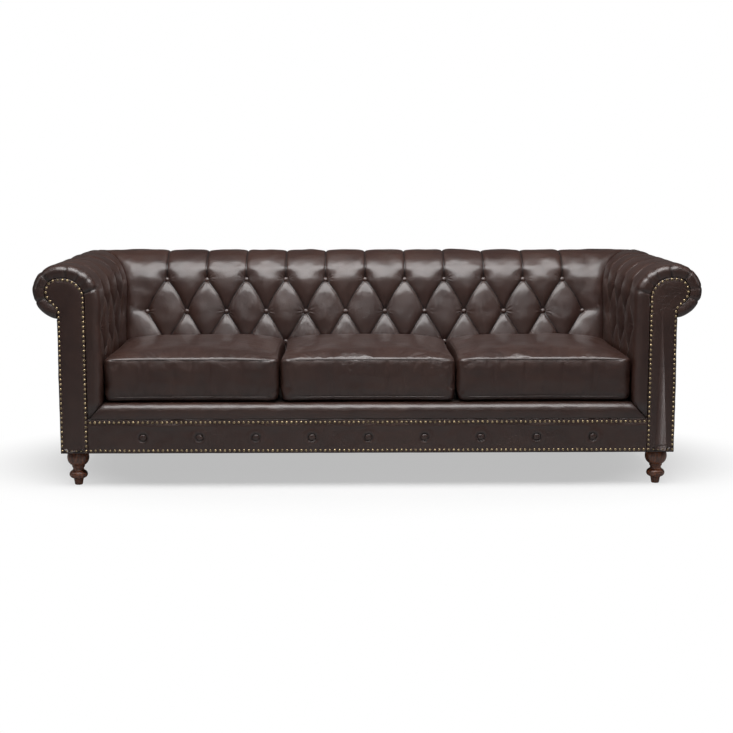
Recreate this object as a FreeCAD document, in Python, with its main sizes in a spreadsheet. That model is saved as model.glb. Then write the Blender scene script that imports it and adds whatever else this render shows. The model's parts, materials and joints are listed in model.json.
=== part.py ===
import FreeCAD, Part
import math
import os
import re

Vector = FreeCAD.Vector

# Driving dimensions, in millimetres and degrees
SIZES = [
    ("overall_width", 2300),
    ("overall_depth", 950),
    ("overall_height", 773),
    ("underside_height", 120),
    ("roll_radius", 93),
    ("roll_crown", 18),
    ("roll_overhang", 86),
    ("neck_rise", 25),
    ("neck_angle", 50),
    ("arm_width", 147),
    ("back_scroll_radius", 150),
    ("back_lean", 13),
    ("back_break_height", 428),
    ("face_foam", 51),
    ("roll_foam", 44),
    ("leather", 1.4),
    ("gap", 0.3),
    ("front_roundness", 37),
    ("lip_top", 294),
    ("lip_bottom", 240),
    ("lip_bulge", 2.5),
    ("lip_turn_under", 6),
    ("panel_thickness", 4),
    ("panel_margin", 2),
    ("board", 28),
    ("scroll_board", 25),
    ("dust_cloth", 1.2),
    ("tuft_pitch", 153.5),
    ("tuft_low", 428),
    ("tuft_middle", 549),
    ("tuft_high", 672),
    ("tuft_sink", 24),
    ("pleat_sink", 12),
    ("crown_ease", 3),
    ("arm_first_tuft", 95),
    ("tuft_button", 20),
    ("tuft_button_rise", 6),
    ("tuft_button_stand", 6),
    ("twine", 3),
    ("twine_length", 22),
    ("rail_button", 22),
    ("rail_button_rise", 3.2),
    ("rail_button_pitch", 195),
    ("rail_button_height", 174.5),
    ("rail_dimple", 3),
    ("rail_dimple_width", 46),
    ("nail_head", 9),
    ("nail_rise", 2.5),
    ("nail_shank", 1.6),
    ("nail_length", 14),
    ("nail_pitch", 16.5),
    ("nail_inset", 5),
    ("nail_low_row", 129.5),
    ("nail_high_row", 228.3),
    ("cushion_side_gap", 3),
    ("cushion_gap", 6),
    ("cushion_back_gap", 12),
    ("cushion_overhang", 20),
    ("cushion_low_seam", 312),
    ("cushion_high_seam", 445),
    ("cushion_crown", 24),
    ("cushion_draw", 7),
    ("cushion_bulge", 4),
    ("cushion_corner", 22),
    ("zip_length", 500),
    ("zip_width", 24),
    ("zip_thickness", 1.6),
    ("zip_slider_width", 10),
    ("zip_slider_length", 16),
    ("zip_slider_thickness", 2.6),
    ("zip_pull", 26),
    ("cushion_shoulder", 28),
    ("deck_rise", 2),
    ("deck_margin", 2),
    ("deck_cloth", 1.2),
    ("deck_cloth_drop", 6),
    ("spring_wire", 3.8),
    ("spring_height", 222),
    ("spring_turn", 20),
    ("spring_reach", 36),
    ("webbing_width", 50),
    ("webbing", 1.5),
    ("webbing_margin", 10),
    ("liner", 2.5),
    ("tack_rail_height", 96),
    ("tack_rail_rise", 46),
    ("stretcher_height", 60),
    ("stretcher_out", 328),
    ("post_out", 328),
    ("top_rail_width", 62),
    ("top_rail_height", 40),
    ("top_rail_rise", 2),
    ("top_rail_set_in", 4),
    ("inner_rail_height", 50),
    ("corner_block", 68),
    ("foot_side_inset", 51),
    ("foot_front_inset", 57.5),
    ("foot_rear_inset", 60),
    ("foot_bulb", 77),
    ("foot_neck", 37),
    ("foot_ring", 65),
    ("foot_tip", 33),
    ("foot_end", 25),
    ("foot_bulb_height", 54),
    ("foot_ring_height", 27),
    ("foot_tip_height", 24),
    ("bolt", 7.6),
    ("bolt_clearance", 0.4),
    ("bolt_depth", 38),
    ("nut_flange", 22),
    ("nut_flange_thickness", 1.6),
    ("nut_barrel", 10),
]

# Lines and levels that follow from the driving dimensions
LINES = [
    ("half_width", "overall_width / 2"),
    ("front", "-overall_depth / 2"),
    ("rear", "overall_depth / 2"),
    ("panel_front", "front + nail_rise"),
    ("panel_rear", "panel_front + panel_thickness"),
    ("frame_front", "panel_rear + gap"),
    ("frame_bottom", "underside_height + gap + dust_cloth"),
    ("arm_outer", "half_width - roll_overhang"),
    ("arm_face", "arm_outer - arm_width"),
    ("arm_frame", "arm_outer - panel_thickness - gap"),
    ("back_outer", "rear - roll_overhang"),
    ("back_frame", "back_outer - panel_thickness - gap"),
    ("roll_height", "overall_height - roll_radius"),
    ("arm_roll", "half_width - roll_radius"),
    ("back_roll", "rear - roll_radius"),
    ("arm_scroll", "arm_roll - roll_crown"),
    ("arm_scroll_radius", "arm_scroll - arm_face"),
    ("back_scroll", "back_roll - roll_crown"),
    ("back_scroll_height", "overall_height - back_scroll_radius"),
    ("back_tangent", "back_scroll_height + back_scroll_radius * sin(back_lean)"),
    ("back_rise", "(back_tangent - back_break_height) * tan(back_lean)"),
    ("back_face", "back_scroll - back_scroll_radius * cos(back_lean) - back_rise"),
    ("face_inner", "arm_face + face_foam + gap"),
    ("back_inner", "back_face + face_foam + gap"),
    ("rail_top", "lip_bottom - gap"),
    ("rail_rear", "frame_front + board"),
    ("deck_top", "lip_top + deck_rise"),
    ("tack_top", "rail_top + tack_rail_rise"),
    ("tack_low", "tack_top - tack_rail_height"),
    ("scroll_rear", "frame_front + scroll_board"),
    ("side_front", "scroll_rear + gap"),
    ("tack_out", "face_inner + webbing + gap"),
    ("tack_back", "back_inner + webbing + gap"),
    ("post_low", "rail_top + gap"),
    ("top_rail_low", "roll_height - top_rail_height / 2 + top_rail_rise"),
    ("foot_out", "arm_outer - foot_side_inset"),
    ("foot_front", "panel_front + foot_front_inset"),
    ("foot_rear", "back_outer - foot_rear_inset"),
]

SIZE_NAMES = [alias for alias, number in SIZES]
LINE_NAMES = [alias for alias, rule in LINES]

document = FreeCAD.newDocument("chesterfield_sofa")
sheet = document.addObject("Spreadsheet::Sheet", "Sizes")
for row, (alias, number) in enumerate(SIZES, start=1):
    sheet.set(f"A{row}", alias)
    sheet.set(f"B{row}", str(number))
    sheet.setAlias(f"B{row}", alias)
document.recompute()


def formula(text):
    """Point every size or line that a text names at the object that holds it."""
    def holder(match):
        word = match.group(0)
        if word in SIZE_NAMES:
            return "Sizes." + word
        if word in LINE_NAMES:
            return "Lines." + word
        return word
    return re.sub(r"[a-z_]+", holder, text)


lines = document.addObject("App::FeaturePython", "Lines")
for alias, rule in LINES:
    lines.addProperty("App::PropertyFloat", alias)
    lines.setExpression(alias, formula(rule))
document.recompute()


def size(name):
    """The value of a size of the sheet, or of a line that follows from it."""
    return getattr(sheet, name) if name in SIZE_NAMES else getattr(lines, name)


subparts = []


def keep(piece, name):
    """Count an object as one named sub-part."""
    piece.Label = name
    subparts.append(piece)
    return piece


# Straight pieces, bound to the sheet

def block(name, across, along, up):
    """A box between two formulas on each axis."""
    piece = document.addObject("Part::Box", name)
    for length, place, (low, high) in zip(("Length", "Width", "Height"), "xyz", (across, along, up)):
        piece.setExpression(length, formula(f"({high}) - ({low})"))
        piece.setExpression("Placement.Base." + place, formula(low))
    return piece


def rod(name, across, along, up, diameter):
    """An upright cylinder with its centre and its ends given by formulas."""
    piece = document.addObject("Part::Cylinder", name)
    piece.setExpression("Radius", formula(f"({diameter}) / 2"))
    piece.setExpression("Height", formula(f"({up[1]}) - ({up[0]})"))
    piece.setExpression("Placement.Base.x", formula(across))
    piece.setExpression("Placement.Base.y", formula(along))
    piece.setExpression("Placement.Base.z", formula(up[0]))
    return piece


def mirrored(piece):
    """The same piece on the other side of the sofa's middle."""
    other = document.addObject("Part::Mirroring", piece.Name + "_mirror")
    other.Source = piece
    other.Normal = Vector(1, 0, 0)
    return other


def group(name, pieces):
    """Separate like pieces that share one name."""
    together = document.addObject("Part::Compound", name + "_group")
    together.Links = pieces
    return keep(together, name)


def pair(name, pieces):
    """Pieces of the right side and their mirror images, under one name."""
    return group(name, pieces + [mirrored(piece) for piece in pieces])


def cut(name, piece, tool):
    """One piece with another taken away."""
    result = document.addObject("Part::Cut", name)
    result.Base = piece
    result.Tool = tool
    return result


def joined(name, pieces):
    """Overlapping forms made one solid."""
    result = document.addObject("Part::MultiFuse", name)
    result.Shapes = pieces
    return result


def shaped(name, shape):
    """A sub-part whose form the primitives can't give."""
    piece = document.addObject("Part::Feature", name + "_form")
    piece.Shape = shape
    return keep(piece, name)


# Hardwood frame

keep(block("front_rail", ("-face_inner", "face_inner"), ("frame_front", "rail_rear"),
           ("frame_bottom", "rail_top")), "front_rail")
keep(block("rear_rail", ("board + gap - arm_frame", "arm_frame - board - gap"),
           ("back_frame - board", "back_frame"), ("frame_bottom", "rail_top")), "rear_rail")
pair("side_rails", [block("side_rail", ("arm_frame - board", "arm_frame"),
                          ("side_front", "back_frame"), ("frame_bottom", "rail_top"))])
stretcher = block("stretcher", ("stretcher_out - board / 2", "stretcher_out + board / 2"),
                  ("rail_rear + gap", "back_frame - board - gap"),
                  ("tack_low - gap - stretcher_height", "tack_low - gap"))
pair("seat_stretchers", [stretcher])


def corner_block(name, along):
    """A block between rail and side rail, bored for the foot's nut."""
    whole = block(name + "_whole", ("face_inner", "arm_frame - board - gap"), along,
                  ("frame_bottom", "frame_bottom + board"))
    foot_along = "foot_front" if name == "front_block" else "foot_rear"
    bore = rod(name + "_bore", "foot_out", foot_along,
               ("frame_bottom", "frame_bottom + board"), "nut_barrel + 2 * bolt_clearance")
    return cut(name, whole, bore)


pair("corner_blocks", [
    corner_block("front_block", ("side_front", "side_front + corner_block")),
    corner_block("rear_block", ("back_frame - board - gap - corner_block", "back_frame - board - gap")),
])
pair("arm_rear_posts", [block("arm_post", ("arm_frame - board", "arm_frame"),
                              ("back_face + 2 * corner_block", "back_face + 3 * corner_block"),
                              ("post_low", "top_rail_low - gap"))])
pair("arm_top_rails", [
    block("arm_roll_rail",
          ("arm_roll - top_rail_width / 2", "arm_roll + top_rail_width / 2 - top_rail_set_in"),
          ("side_front", "back_face + 3 * corner_block"),
          ("top_rail_low", "top_rail_low + top_rail_height")),
    block("arm_inner_rail", ("tack_out", "tack_out + board"), ("side_front", "back_inner"),
          ("tuft_middle", "tuft_middle + inner_rail_height")),
])
pair("arm_tack_rails", [block("arm_tack_rail", ("tack_out", "tack_out + board"),
                              ("side_front", "back_inner"), ("tack_low", "tack_top"))])
back_post = block("back_post", ("post_out - board", "post_out + board"),
                  ("back_frame - board", "back_frame"), ("post_low", "top_rail_low - gap"))
end_post = block("end_post", ("arm_face - 2 * board", "arm_face"),
                 ("back_frame - board", "back_frame"), ("post_low", "top_rail_low - gap"))
pair("back_posts", [back_post, end_post])
group("back_top_rails", [
    block("back_roll_rail", ("-arm_face", "arm_face"),
          ("back_roll - top_rail_width / 2", "back_roll + top_rail_width / 2 - top_rail_set_in"),
          ("top_rail_low", "top_rail_low + top_rail_height")),
    block("back_inner_rail", ("-arm_face", "arm_face"),
          ("back_frame - 2 * board - gap", "back_frame - board - gap"),
          ("tuft_middle", "tuft_middle + inner_rail_height")),
])
keep(block("back_tack_rail", ("-arm_face", "arm_face"), ("tack_back", "tack_back + board"),
           ("tack_low", "tack_top")), "back_tack_rail")

# Feet and what holds them

# Half height of the bulb's oval, as a share of the height that shows
BULB_SHARE = 0.62


def foot(name, across, along):
    """A turned foot: bulb, neck, ring and tapered tip, bored for its bolt."""
    top = "underside_height"
    bulb_low = "(underside_height - foot_bulb_height)"
    ring_middle = "(foot_tip_height + foot_ring_height / 2)"
    bulb = document.addObject("Part::Ellipsoid", name + "_bulb")
    bulb.setExpression("Radius1", formula(f"foot_bulb_height * {BULB_SHARE}"))
    bulb.setExpression("Radius2", formula("foot_bulb / 2"))
    bulb.setExpression("Placement.Base.z", formula(f"{bulb_low} + foot_bulb_height * {BULB_SHARE}"))
    ring = document.addObject("Part::Ellipsoid", name + "_ring")
    ring.setExpression("Radius1", formula("foot_ring_height / 2"))
    ring.setExpression("Radius2", formula("foot_ring / 2"))
    ring.setExpression("Placement.Base.z", formula(ring_middle))
    for form in (bulb, ring):
        form.setExpression("Placement.Base.x", formula(across))
        form.setExpression("Placement.Base.y", formula(along))
    neck = rod(name + "_neck", across, along, (ring_middle, bulb_low + " + foot_bulb_height / 2"),
               "foot_neck")
    tip = document.addObject("Part::Cone", name + "_tip")
    tip.setExpression("Radius1", formula("foot_end / 2"))
    tip.setExpression("Radius2", formula("foot_tip / 2"))
    tip.setExpression("Height", formula("foot_tip_height + foot_ring_height / 4"))
    tip.setExpression("Placement.Base.x", formula(across))
    tip.setExpression("Placement.Base.y", formula(along))
    whole = joined(name + "_whole", [bulb, ring, neck, tip])
    above = block(name + "_above", (f"{across} - foot_bulb", f"{across} + foot_bulb"),
                  (f"{along} - foot_bulb", f"{along} + foot_bulb"), (top, top + " + foot_bulb"))
    flat = cut(name + "_flat", whole, above)
    bore = rod(name + "_bore", across, along, (top + " - bolt_depth", top), "bolt + 2 * bolt_clearance")
    return cut(name, flat, bore)


FOOT_PLACES = [
    ("front_left", "-foot_out", "foot_front"),
    ("front_right", "foot_out", "foot_front"),
    ("rear_left", "-foot_out", "foot_rear"),
    ("rear_right", "foot_out", "foot_rear"),
]
for place, across, along in FOOT_PLACES:
    keep(foot("foot_" + place, across, along), place + "_foot")

bolts = []
nuts = []
bolt_holes = []
for place, across, along in FOOT_PLACES:
    bolts.append(rod("bolt_" + place, across, along,
                     ("underside_height - bolt_depth + gap", "frame_bottom + board - gap"), "bolt"))
    barrel = rod("barrel_" + place, across, along,
                 ("frame_bottom + board / 2", "frame_bottom + board"), "nut_barrel")
    flange = rod("flange_" + place, across, along,
                 ("frame_bottom + board", "frame_bottom + board + nut_flange_thickness"), "nut_flange")
    thread = rod("thread_" + place, across, along,
                 ("frame_bottom", "frame_bottom + 2 * board"), "bolt + bolt_clearance")
    nuts.append(cut("nut_" + place, joined("nut_whole_" + place, [barrel, flange]), thread))
    bolt_holes.append(rod("cloth_hole_" + place, across, along,
                          ("underside_height - gap", "frame_bottom + gap"), "nut_barrel"))
group("foot_bolts", bolts)
group("foot_nuts", nuts)
dust_sheet = block("dust_sheet", ("-arm_frame", "arm_frame"), ("frame_front", "back_frame"),
                   ("underside_height", "frame_bottom - gap"))
keep(cut("dust_cover", dust_sheet, joined("cloth_holes", bolt_holes)), "dust_cover")

# Seat deck

deck_across = ("deck_margin - arm_face", "arm_face - deck_margin")
deck_along = ("rail_rear + gap", "back_face - deck_margin")
deck_low = "rail_top - deck_cloth_drop"
keep(block("deck_cloth", deck_across, ("rail_rear + gap", "back_inner"),
           (deck_low, deck_low + " + deck_cloth")), "deck_cloth")
keep(block("deck_pad", deck_across, deck_along,
           (deck_low + " + deck_cloth + gap", "deck_top - deck_cloth - gap")), "deck_pad")
keep(block("deck_cover", deck_across, deck_along, ("deck_top - deck_cloth", "deck_top")), "deck_cover")

# Outside panels

panel_top = "roll_height - sqrt(roll_radius ^ 2 - (arm_outer - arm_roll) ^ 2) - gap"
outer_arm = block("outer_arm_panel", ("arm_outer - panel_thickness", "arm_outer"),
                  ("panel_rear + gap", "back_outer - panel_thickness - gap"),
                  ("underside_height", panel_top))
keep(outer_arm, "right_outer_arm_panel")
keep(mirrored(outer_arm), "left_outer_arm_panel")
keep(block("outer_back_panel", ("-arm_outer", "arm_outer"), ("back_outer - panel_thickness", "back_outer"),
           ("underside_height", panel_top)), "outer_back_panel")

# Section of arm and back: the stations that a cover passes, from seat to outside

BOTTOM, LOW, MIDDLE, HIGH, CROWN = 0, 2, 4, 6, 11
ARC_SHARES = (0.32, 0.60, 0.82, 0.95, 1.0)
# Steps of the roll above and below its widest line
ROLL_ABOVE, ROLL_BELOW = 4, 3


class Form:
    """The lines that one section follows."""

    def __init__(self, roll, scroll, radius, lean, outer):
        self.roll = roll
        self.scroll = scroll
        self.radius = radius
        self.lean = math.radians(lean)
        self.outer = outer
        self.arc_up = size("overall_height") - radius
        self.tangent_up = self.arc_up + radius * math.sin(self.lean)
        rise = max(self.tangent_up - size("back_break_height"), 0) * math.tan(self.lean)
        self.face = scroll - radius * math.cos(self.lean) - rise

    def inner(self, up):
        """Where the seat side of the section is at a height, and which way it faces."""
        if up >= self.tangent_up:
            rise = min((up - self.arc_up) / self.radius, 1.0)
            level = math.sqrt(1 - rise * rise)
            return (self.scroll - self.radius * level, up), (-level, rise)
        if up <= size("back_break_height"):
            return (self.face, up), (-1.0, 0.0)
        out = self.face + (up - size("back_break_height")) * math.tan(self.lean)
        return (out, up), (-math.cos(self.lean), math.sin(self.lean))


def heights():
    """Heights of the stations on the seat side, shared by arms and back."""
    low, middle, high = size("tuft_low"), size("tuft_middle"), size("tuft_high")
    straight = [size("lip_top"), (size("lip_top") + low) / 2, low, (low + middle) / 2,
                middle, (middle + high) / 2, high]
    return straight + [high + (size("overall_height") - high) * share for share in ARC_SHARES]


def stations(form):
    """Surface point, outward normal and frame-side point at each station."""
    found = []
    for step, up in enumerate(heights()):
        point, normal = form.inner(up)
        deep = size("face_foam")
        if step > HIGH:
            deep += (size("roll_foam") - size("face_foam")) * (step - HIGH) / (CROWN - HIGH)
        base = (point[0] - deep * normal[0], point[1] - deep * normal[1])
        if step == BOTTOM:
            base = (point[0] + size("face_foam"), size("lip_bottom"))
        found.append((point, normal, base))
    radius, deep = size("roll_radius"), size("roll_foam")
    top = size("overall_height")
    found.append(((form.roll, top), (0.0, 1.0), (form.roll, top - deep)))
    last = -math.acos((form.outer - form.roll) / radius)
    angles = [math.pi / 2 * (1 - step / ROLL_ABOVE) for step in range(1, ROLL_ABOVE + 1)]
    angles += [last * step / ROLL_BELOW for step in range(1, ROLL_BELOW + 1)]
    for angle in angles:
        normal = (math.cos(angle), math.sin(angle))
        point = (form.roll + radius * normal[0], size("roll_height") + radius * normal[1])
        base = (point[0] - deep * normal[0], point[1] - deep * normal[1])
        if angle == last:
            base = (form.outer, point[1] + size("neck_rise"))
        found.append((point, normal, base))
    return found


arm_form = Form(size("arm_roll"), size("arm_scroll"), size("arm_scroll_radius"), 0, size("arm_outer"))
back_form = Form(size("back_roll"), size("back_scroll"), size("back_scroll_radius"),
                 size("back_lean"), size("back_outer"))
arm_stations = stations(arm_form)
back_stations = stations(back_form)
STATION_COUNT = len(arm_stations)


# Shares of a full pleat's depth: next to a button, further off, and at the end of a buttoned field
NEAR_SHARE, FAR_SHARE, END_SHARE = 0.9, 0.6, 0.7


def tuft_depth(column, step):
    """How far the leather is drawn in. Buttons of the middle row stand on columns 2, 6, 10."""
    phase = column % 4
    ease = size("crown_ease")
    if step in (LOW, HIGH):
        return {0: size("tuft_sink"), 2: 0}.get(phase, ease)
    if step == MIDDLE:
        return {2: size("tuft_sink"), 0: 0}.get(phase, ease)
    if LOW < step < HIGH:
        return size("pleat_sink") if phase % 2 else ease
    upright = size("pleat_sink") * (NEAR_SHARE if step in (BOTTOM + 1, HIGH + 1) else FAR_SHARE)
    return {0: upright, 2: 0}.get(phase, ease)


# Faceted solids between two grids of points

def solid_of(points, triangles):
    """A closed solid of flat triangles."""
    skin = Part.Shape()
    skin.makeShapeFromMesh((points, triangles), 0.001)
    result = Part.makeSolid(skin)
    if result.Volume < 0:
        result.reverse()
    return result


def between(outer, inner, sinks=None):
    """The solid that an outer and an inner grid of points enclose."""
    columns, rows = len(outer), len(outer[0])
    points = [point for column in outer for point in column]
    points += [point for column in inner for point in column]
    shift = columns * rows
    triangles = []
    for c in range(columns - 1):
        for r in range(rows - 1):
            a, b = c * rows + r, (c + 1) * rows + r
            d, e = a + 1, b + 1
            low = sinks is None or sinks[c][r] + sinks[c + 1][r + 1] >= sinks[c + 1][r] + sinks[c][r + 1]
            halves = [(a, b, e), (a, e, d)] if low else [(a, b, d), (b, e, d)]
            for p, q, s in halves:
                triangles.append((p, q, s))
                triangles.append((q + shift, p + shift, s + shift))
    rim = [c * rows for c in range(columns)]
    rim += [(columns - 1) * rows + r for r in range(1, rows)]
    rim += [c * rows + rows - 1 for c in range(columns - 2, -1, -1)]
    rim += [r for r in range(rows - 2, 0, -1)]
    for p, q in zip(rim, rim[1:] + rim[:1]):
        triangles.append((q, p, p + shift))
        triangles.append((q, p + shift, q + shift))
    return solid_of(points, triangles)


def facing_out(grid):
    """Outward normals at the points of a grid."""
    columns, rows = len(grid), len(grid[0])
    found = []
    for c in range(columns):
        line = []
        for r in range(rows):
            across = grid[min(c + 1, columns - 1)][r] - grid[max(c - 1, 0)][r]
            along = grid[c][min(r + 1, rows - 1)] - grid[c][max(r - 1, 0)]
            line.append(across.cross(along).normalize())
        found.append(line)
    return found


def moved_in(grid, normals, distance):
    """The grid moved inwards along its normals."""
    return [[point - normal * distance for point, normal in zip(line, facing)]
            for line, facing in zip(grid, normals)]


def quilted(name, outer, inner, sinks, corners, flip):
    """A leather cover and the foam under it. Corner columns move in along the given directions."""
    normals = facing_out(outer)
    if flip:
        normals = [[normal * -1 for normal in line] for line in normals]
    for column, directions in corners.items():
        normals[column] = directions
    under = moved_in(outer, normals, size("leather"))
    foam = moved_in(outer, normals, size("leather") + size("gap"))
    shaped(name + "_cover", between(outer, under, sinks))
    shaped(name + "_foam", between(foam, inner, sinks))


def corner_line(side):
    """Surface, frame-side point and inward direction where an arm meets the back."""
    found = []
    for (arm, arm_normal, arm_base), (back, back_normal, back_base) in zip(arm_stations, back_stations):
        surface = Vector(side * arm[0], back[0], arm[1])
        base = Vector(side * arm_base[0], back_base[0], (arm_base[1] + back_base[1]) / 2)
        rise = (arm_normal[1] + back_normal[1]) / 2
        found.append((surface, base, Vector(side * arm_normal[0], back_normal[0], rise)))
    return found


CORNERS = {side: corner_line(side) for side in (-1, 1)}

# Buttoned back

BACK_LAST_COLUMN = 22


def back_grid():
    """Outer and frame-side points of the back, column by column from left to right."""
    outer, inner, sinks = [], [], []
    quarter = size("tuft_pitch") / 4
    for column in range(-BACK_LAST_COLUMN, BACK_LAST_COLUMN + 1):
        depths = [tuft_depth(column, step) for step in range(STATION_COUNT)]
        outer.append([Vector(column * quarter, out - depth * normal[0], up - depth * normal[1])
                      for ((out, up), normal, base), depth in zip(back_stations, depths)])
        inner.append([Vector(column * quarter, base[0], base[1]) for point, normal, base in back_stations])
        sinks.append(depths)
    for side, place in ((-1, 0), (1, len(outer))):
        edge = [surface for surface, base, inward in CORNERS[side]]
        edge_base = [base for surface, base, inward in CORNERS[side]]
        last = side * BACK_LAST_COLUMN * quarter
        half, half_base, half_sinks = [], [], []
        for step, (point, normal, base) in enumerate(back_stations):
            depth = size("pleat_sink") * END_SHARE if step == MIDDLE else 0
            half.append(Vector((last + edge[step].x) / 2, point[0] - depth * normal[0],
                               point[1] - depth * normal[1]))
            half_base.append(Vector((last + edge_base[step].x) / 2, base[0], base[1]))
            half_sinks.append(depth)
        flat = [0] * STATION_COUNT
        if side < 0:
            outer[0:0], inner[0:0], sinks[0:0] = [edge, half], [edge_base, half_base], [flat, half_sinks]
        else:
            outer += [half, edge]
            inner += [half_base, edge_base]
            sinks += [half_sinks, flat]
    return outer, inner, sinks


outer, inner, sinks = back_grid()
quilted("back", outer, inner, sinks,
        {0: [inward for surface, base, inward in CORNERS[-1]],
         len(outer) - 1: [inward for surface, base, inward in CORNERS[1]]}, False)

# Buttoned arms

ARM_COLUMNS = range(1, 17)
# Around the rounded front edge, from the facing to the side: share of the roundness behind the front,
# share of the way to the frame, and how far behind the front the frame-side point lies
FRONT_STEPS = ((0.09, 1.0, 7.0), (0.03, 0.78, 9.0), (0.01, 0.5, 11.0),
               (0.15, 0.22, 15.0), (0.5, 0.06, 23.0), (1.0, 0.0, 37.0))


def arm_column_place(column):
    """Distance along the arm of a tuft column. Column 2 carries the first middle button."""
    return size("front") + size("arm_first_tuft") + (column - 2) * size("tuft_pitch") / 4


def arm_grid(side):
    """Outer and frame-side points of an arm, column by column from front to rear."""
    outer, inner, sinks = [], [], []
    front = size("front")
    flat = [0] * STATION_COUNT
    for forward, share, frame_side in FRONT_STEPS:
        along = front + forward * size("front_roundness")
        line, line_base = [], []
        for (out, up), normal, base in arm_stations:
            across = out + (base[0] - out) * share
            height = up + (base[1] - up) * share
            line.append(Vector(side * across, along, height))
            line_base.append(Vector(side * base[0], front + frame_side, base[1]))
        outer.append(line)
        inner.append(line_base)
        sinks.append(flat)
    for column in ARM_COLUMNS:
        along = arm_column_place(column)
        depths = [tuft_depth(column, step) for step in range(STATION_COUNT)]
        if column == ARM_COLUMNS[-1]:
            depths[:HIGH] = [0] * HIGH
        if column == ARM_COLUMNS[0]:
            depths = [size("pleat_sink") * END_SHARE if step == MIDDLE else 0
                      for step in range(STATION_COUNT)]
        outer.append([Vector(side * (out - depth * normal[0]), along, up - depth * normal[1])
                      for ((out, up), normal, base), depth in zip(arm_stations, depths)])
        inner.append([Vector(side * base[0], along, base[1]) for point, normal, base in arm_stations])
        sinks.append(depths)
    last = arm_column_place(ARM_COLUMNS[-1])
    edge = [surface for surface, base, inward in CORNERS[side]]
    edge_base = [base for surface, base, inward in CORNERS[side]]
    outer.append([Vector(side * point[0], (last + corner.y) / 2, point[1])
                  for (point, normal, base), corner in zip(arm_stations, edge)])
    inner.append([Vector(side * base[0], (last + corner.y) / 2, base[1])
                  for (point, normal, base), corner in zip(arm_stations, edge_base)])
    outer.append(edge)
    inner.append(edge_base)
    sinks += [flat, flat]
    return outer, inner, sinks


for name, side in (("left_arm", -1), ("right_arm", 1)):
    outer, inner, sinks = arm_grid(side)
    quilted(name, outer, inner, sinks,
            {len(outer) - 1: [inward for surface, base, inward in CORNERS[side]]}, side > 0)

# Card liners that carry the rolls, and webbing behind the faces


def strip(sections, places, steps, near, far):
    """A thin sheet behind the foam, between two distances from the frame-side points."""
    outer, inner = [], []
    for place in places:
        line, line_inner = [], []
        for step in steps:
            point, normal, base = sections[step]
            line.append(place(step, base[0] - near * normal[0], base[1] - near * normal[1]))
            line_inner.append(place(step, base[0] - far * normal[0], base[1] - far * normal[1]))
        outer.append(line)
        inner.append(line_inner)
    return between(outer, inner)


LINER_STEPS = range(HIGH, STATION_COUNT - 1)
near, far = size("gap"), size("gap") + size("liner")
arm_liners = []
for side in (-1, 1):
    ends = (lambda step, out, up, side=side: Vector(side * out, size("side_front"), up),
            lambda step, out, up, side=side: Vector(side * out, size("back_inner"), up))
    arm_liners.append(strip(arm_stations, ends, LINER_STEPS, near, far))
shaped("arm_roll_liners", Part.makeCompound(arm_liners))
ends = [lambda step, out, up, side=side: Vector(side * size("arm_face"), out, up) for side in (-1, 1)]
shaped("back_roll_liner", strip(back_stations, ends, LINER_STEPS, near, far))

WEB_STEPS = range(BOTTOM + 1, HIGH)
ARM_WEBS, BACK_WEBS = 5, 11
near, far = size("gap"), size("gap") + size("webbing")
webs = []
first_web = size("side_front") + size("webbing_margin")
last_web = size("back_face") - size("webbing_width")
for side in (-1, 1):
    for number in range(ARM_WEBS):
        start = first_web + number * (last_web - first_web) / (ARM_WEBS - 1)
        ends = [lambda step, out, up, y=y, side=side: Vector(side * out, y, up)
                for y in (start, start + size("webbing_width"))]
        webs.append(strip(arm_stations, ends, WEB_STEPS, near, far))
shaped("arm_webbing", Part.makeCompound(webs))
webs = []
for number in range(BACK_WEBS):
    middle = (number - (BACK_WEBS - 1) / 2) * size("tuft_pitch")
    ends = [lambda step, out, up, x=x: Vector(x, out, up)
            for x in (middle - size("webbing_width") / 2, middle + size("webbing_width") / 2)]
    webs.append(strip(back_stations, ends, WEB_STEPS, near, far))
shaped("back_webbing", Part.makeCompound(webs))

# Padded lip along the front of the seat

# Share of the lip's depth, share of its height, and share of its bulge, from the rail up and back
LIP_CURVE = ((0.03, 0.0, 0.55), (0.0, 0.2, 0.85), (0.0, 0.4, 1.0), (0.04, 0.62, 0.8),
             (0.18, 0.83, 0.0), (0.42, 0.95, 0.0), (0.68, 1.0, 0.0), (1.0, 1.0, 0.0))


def lip_grids():
    """Outer and frame-side points of the lip, mitred into the arms."""
    low, high = size("lip_bottom"), size("lip_top")
    start, deep = size("panel_front"), size("rail_rear") - size("panel_front")
    mitre = size("face_foam") / (high - low)
    turn_under = size("lip_turn_under")
    outer, inner = [], []
    for side in (1, -1):
        line, line_inner = [], []
        for along, up, bulge in LIP_CURVE:
            height = low + up * (high - low)
            reach = size("arm_face") - size("gap") + (high - height) * mitre
            place = start + along * deep - bulge * size("lip_bulge")
            line.append(Vector(side * reach, place, height))
            reach_low = size("arm_face") - size("gap") + size("face_foam")
            line_inner.append(Vector(side * reach_low, start + turn_under + along * (deep - turn_under), low))
        outer.append(line)
        inner.append(line_inner)
    return outer, inner


outer, inner = lip_grids()
lip_normals = [[normal * -1 for normal in line] for line in facing_out(outer)]
inner_foam = [[point + Vector(0, 0, size("gap")) for point in line] for line in inner]
under = moved_in(outer, lip_normals, size("leather"))
shaped("lip_cover", between(outer, under))
foam = moved_in(outer, lip_normals, size("leather") + size("gap"))
shaped("lip_foam", between(foam, inner_foam))

# Scroll boards and front facings


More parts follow.
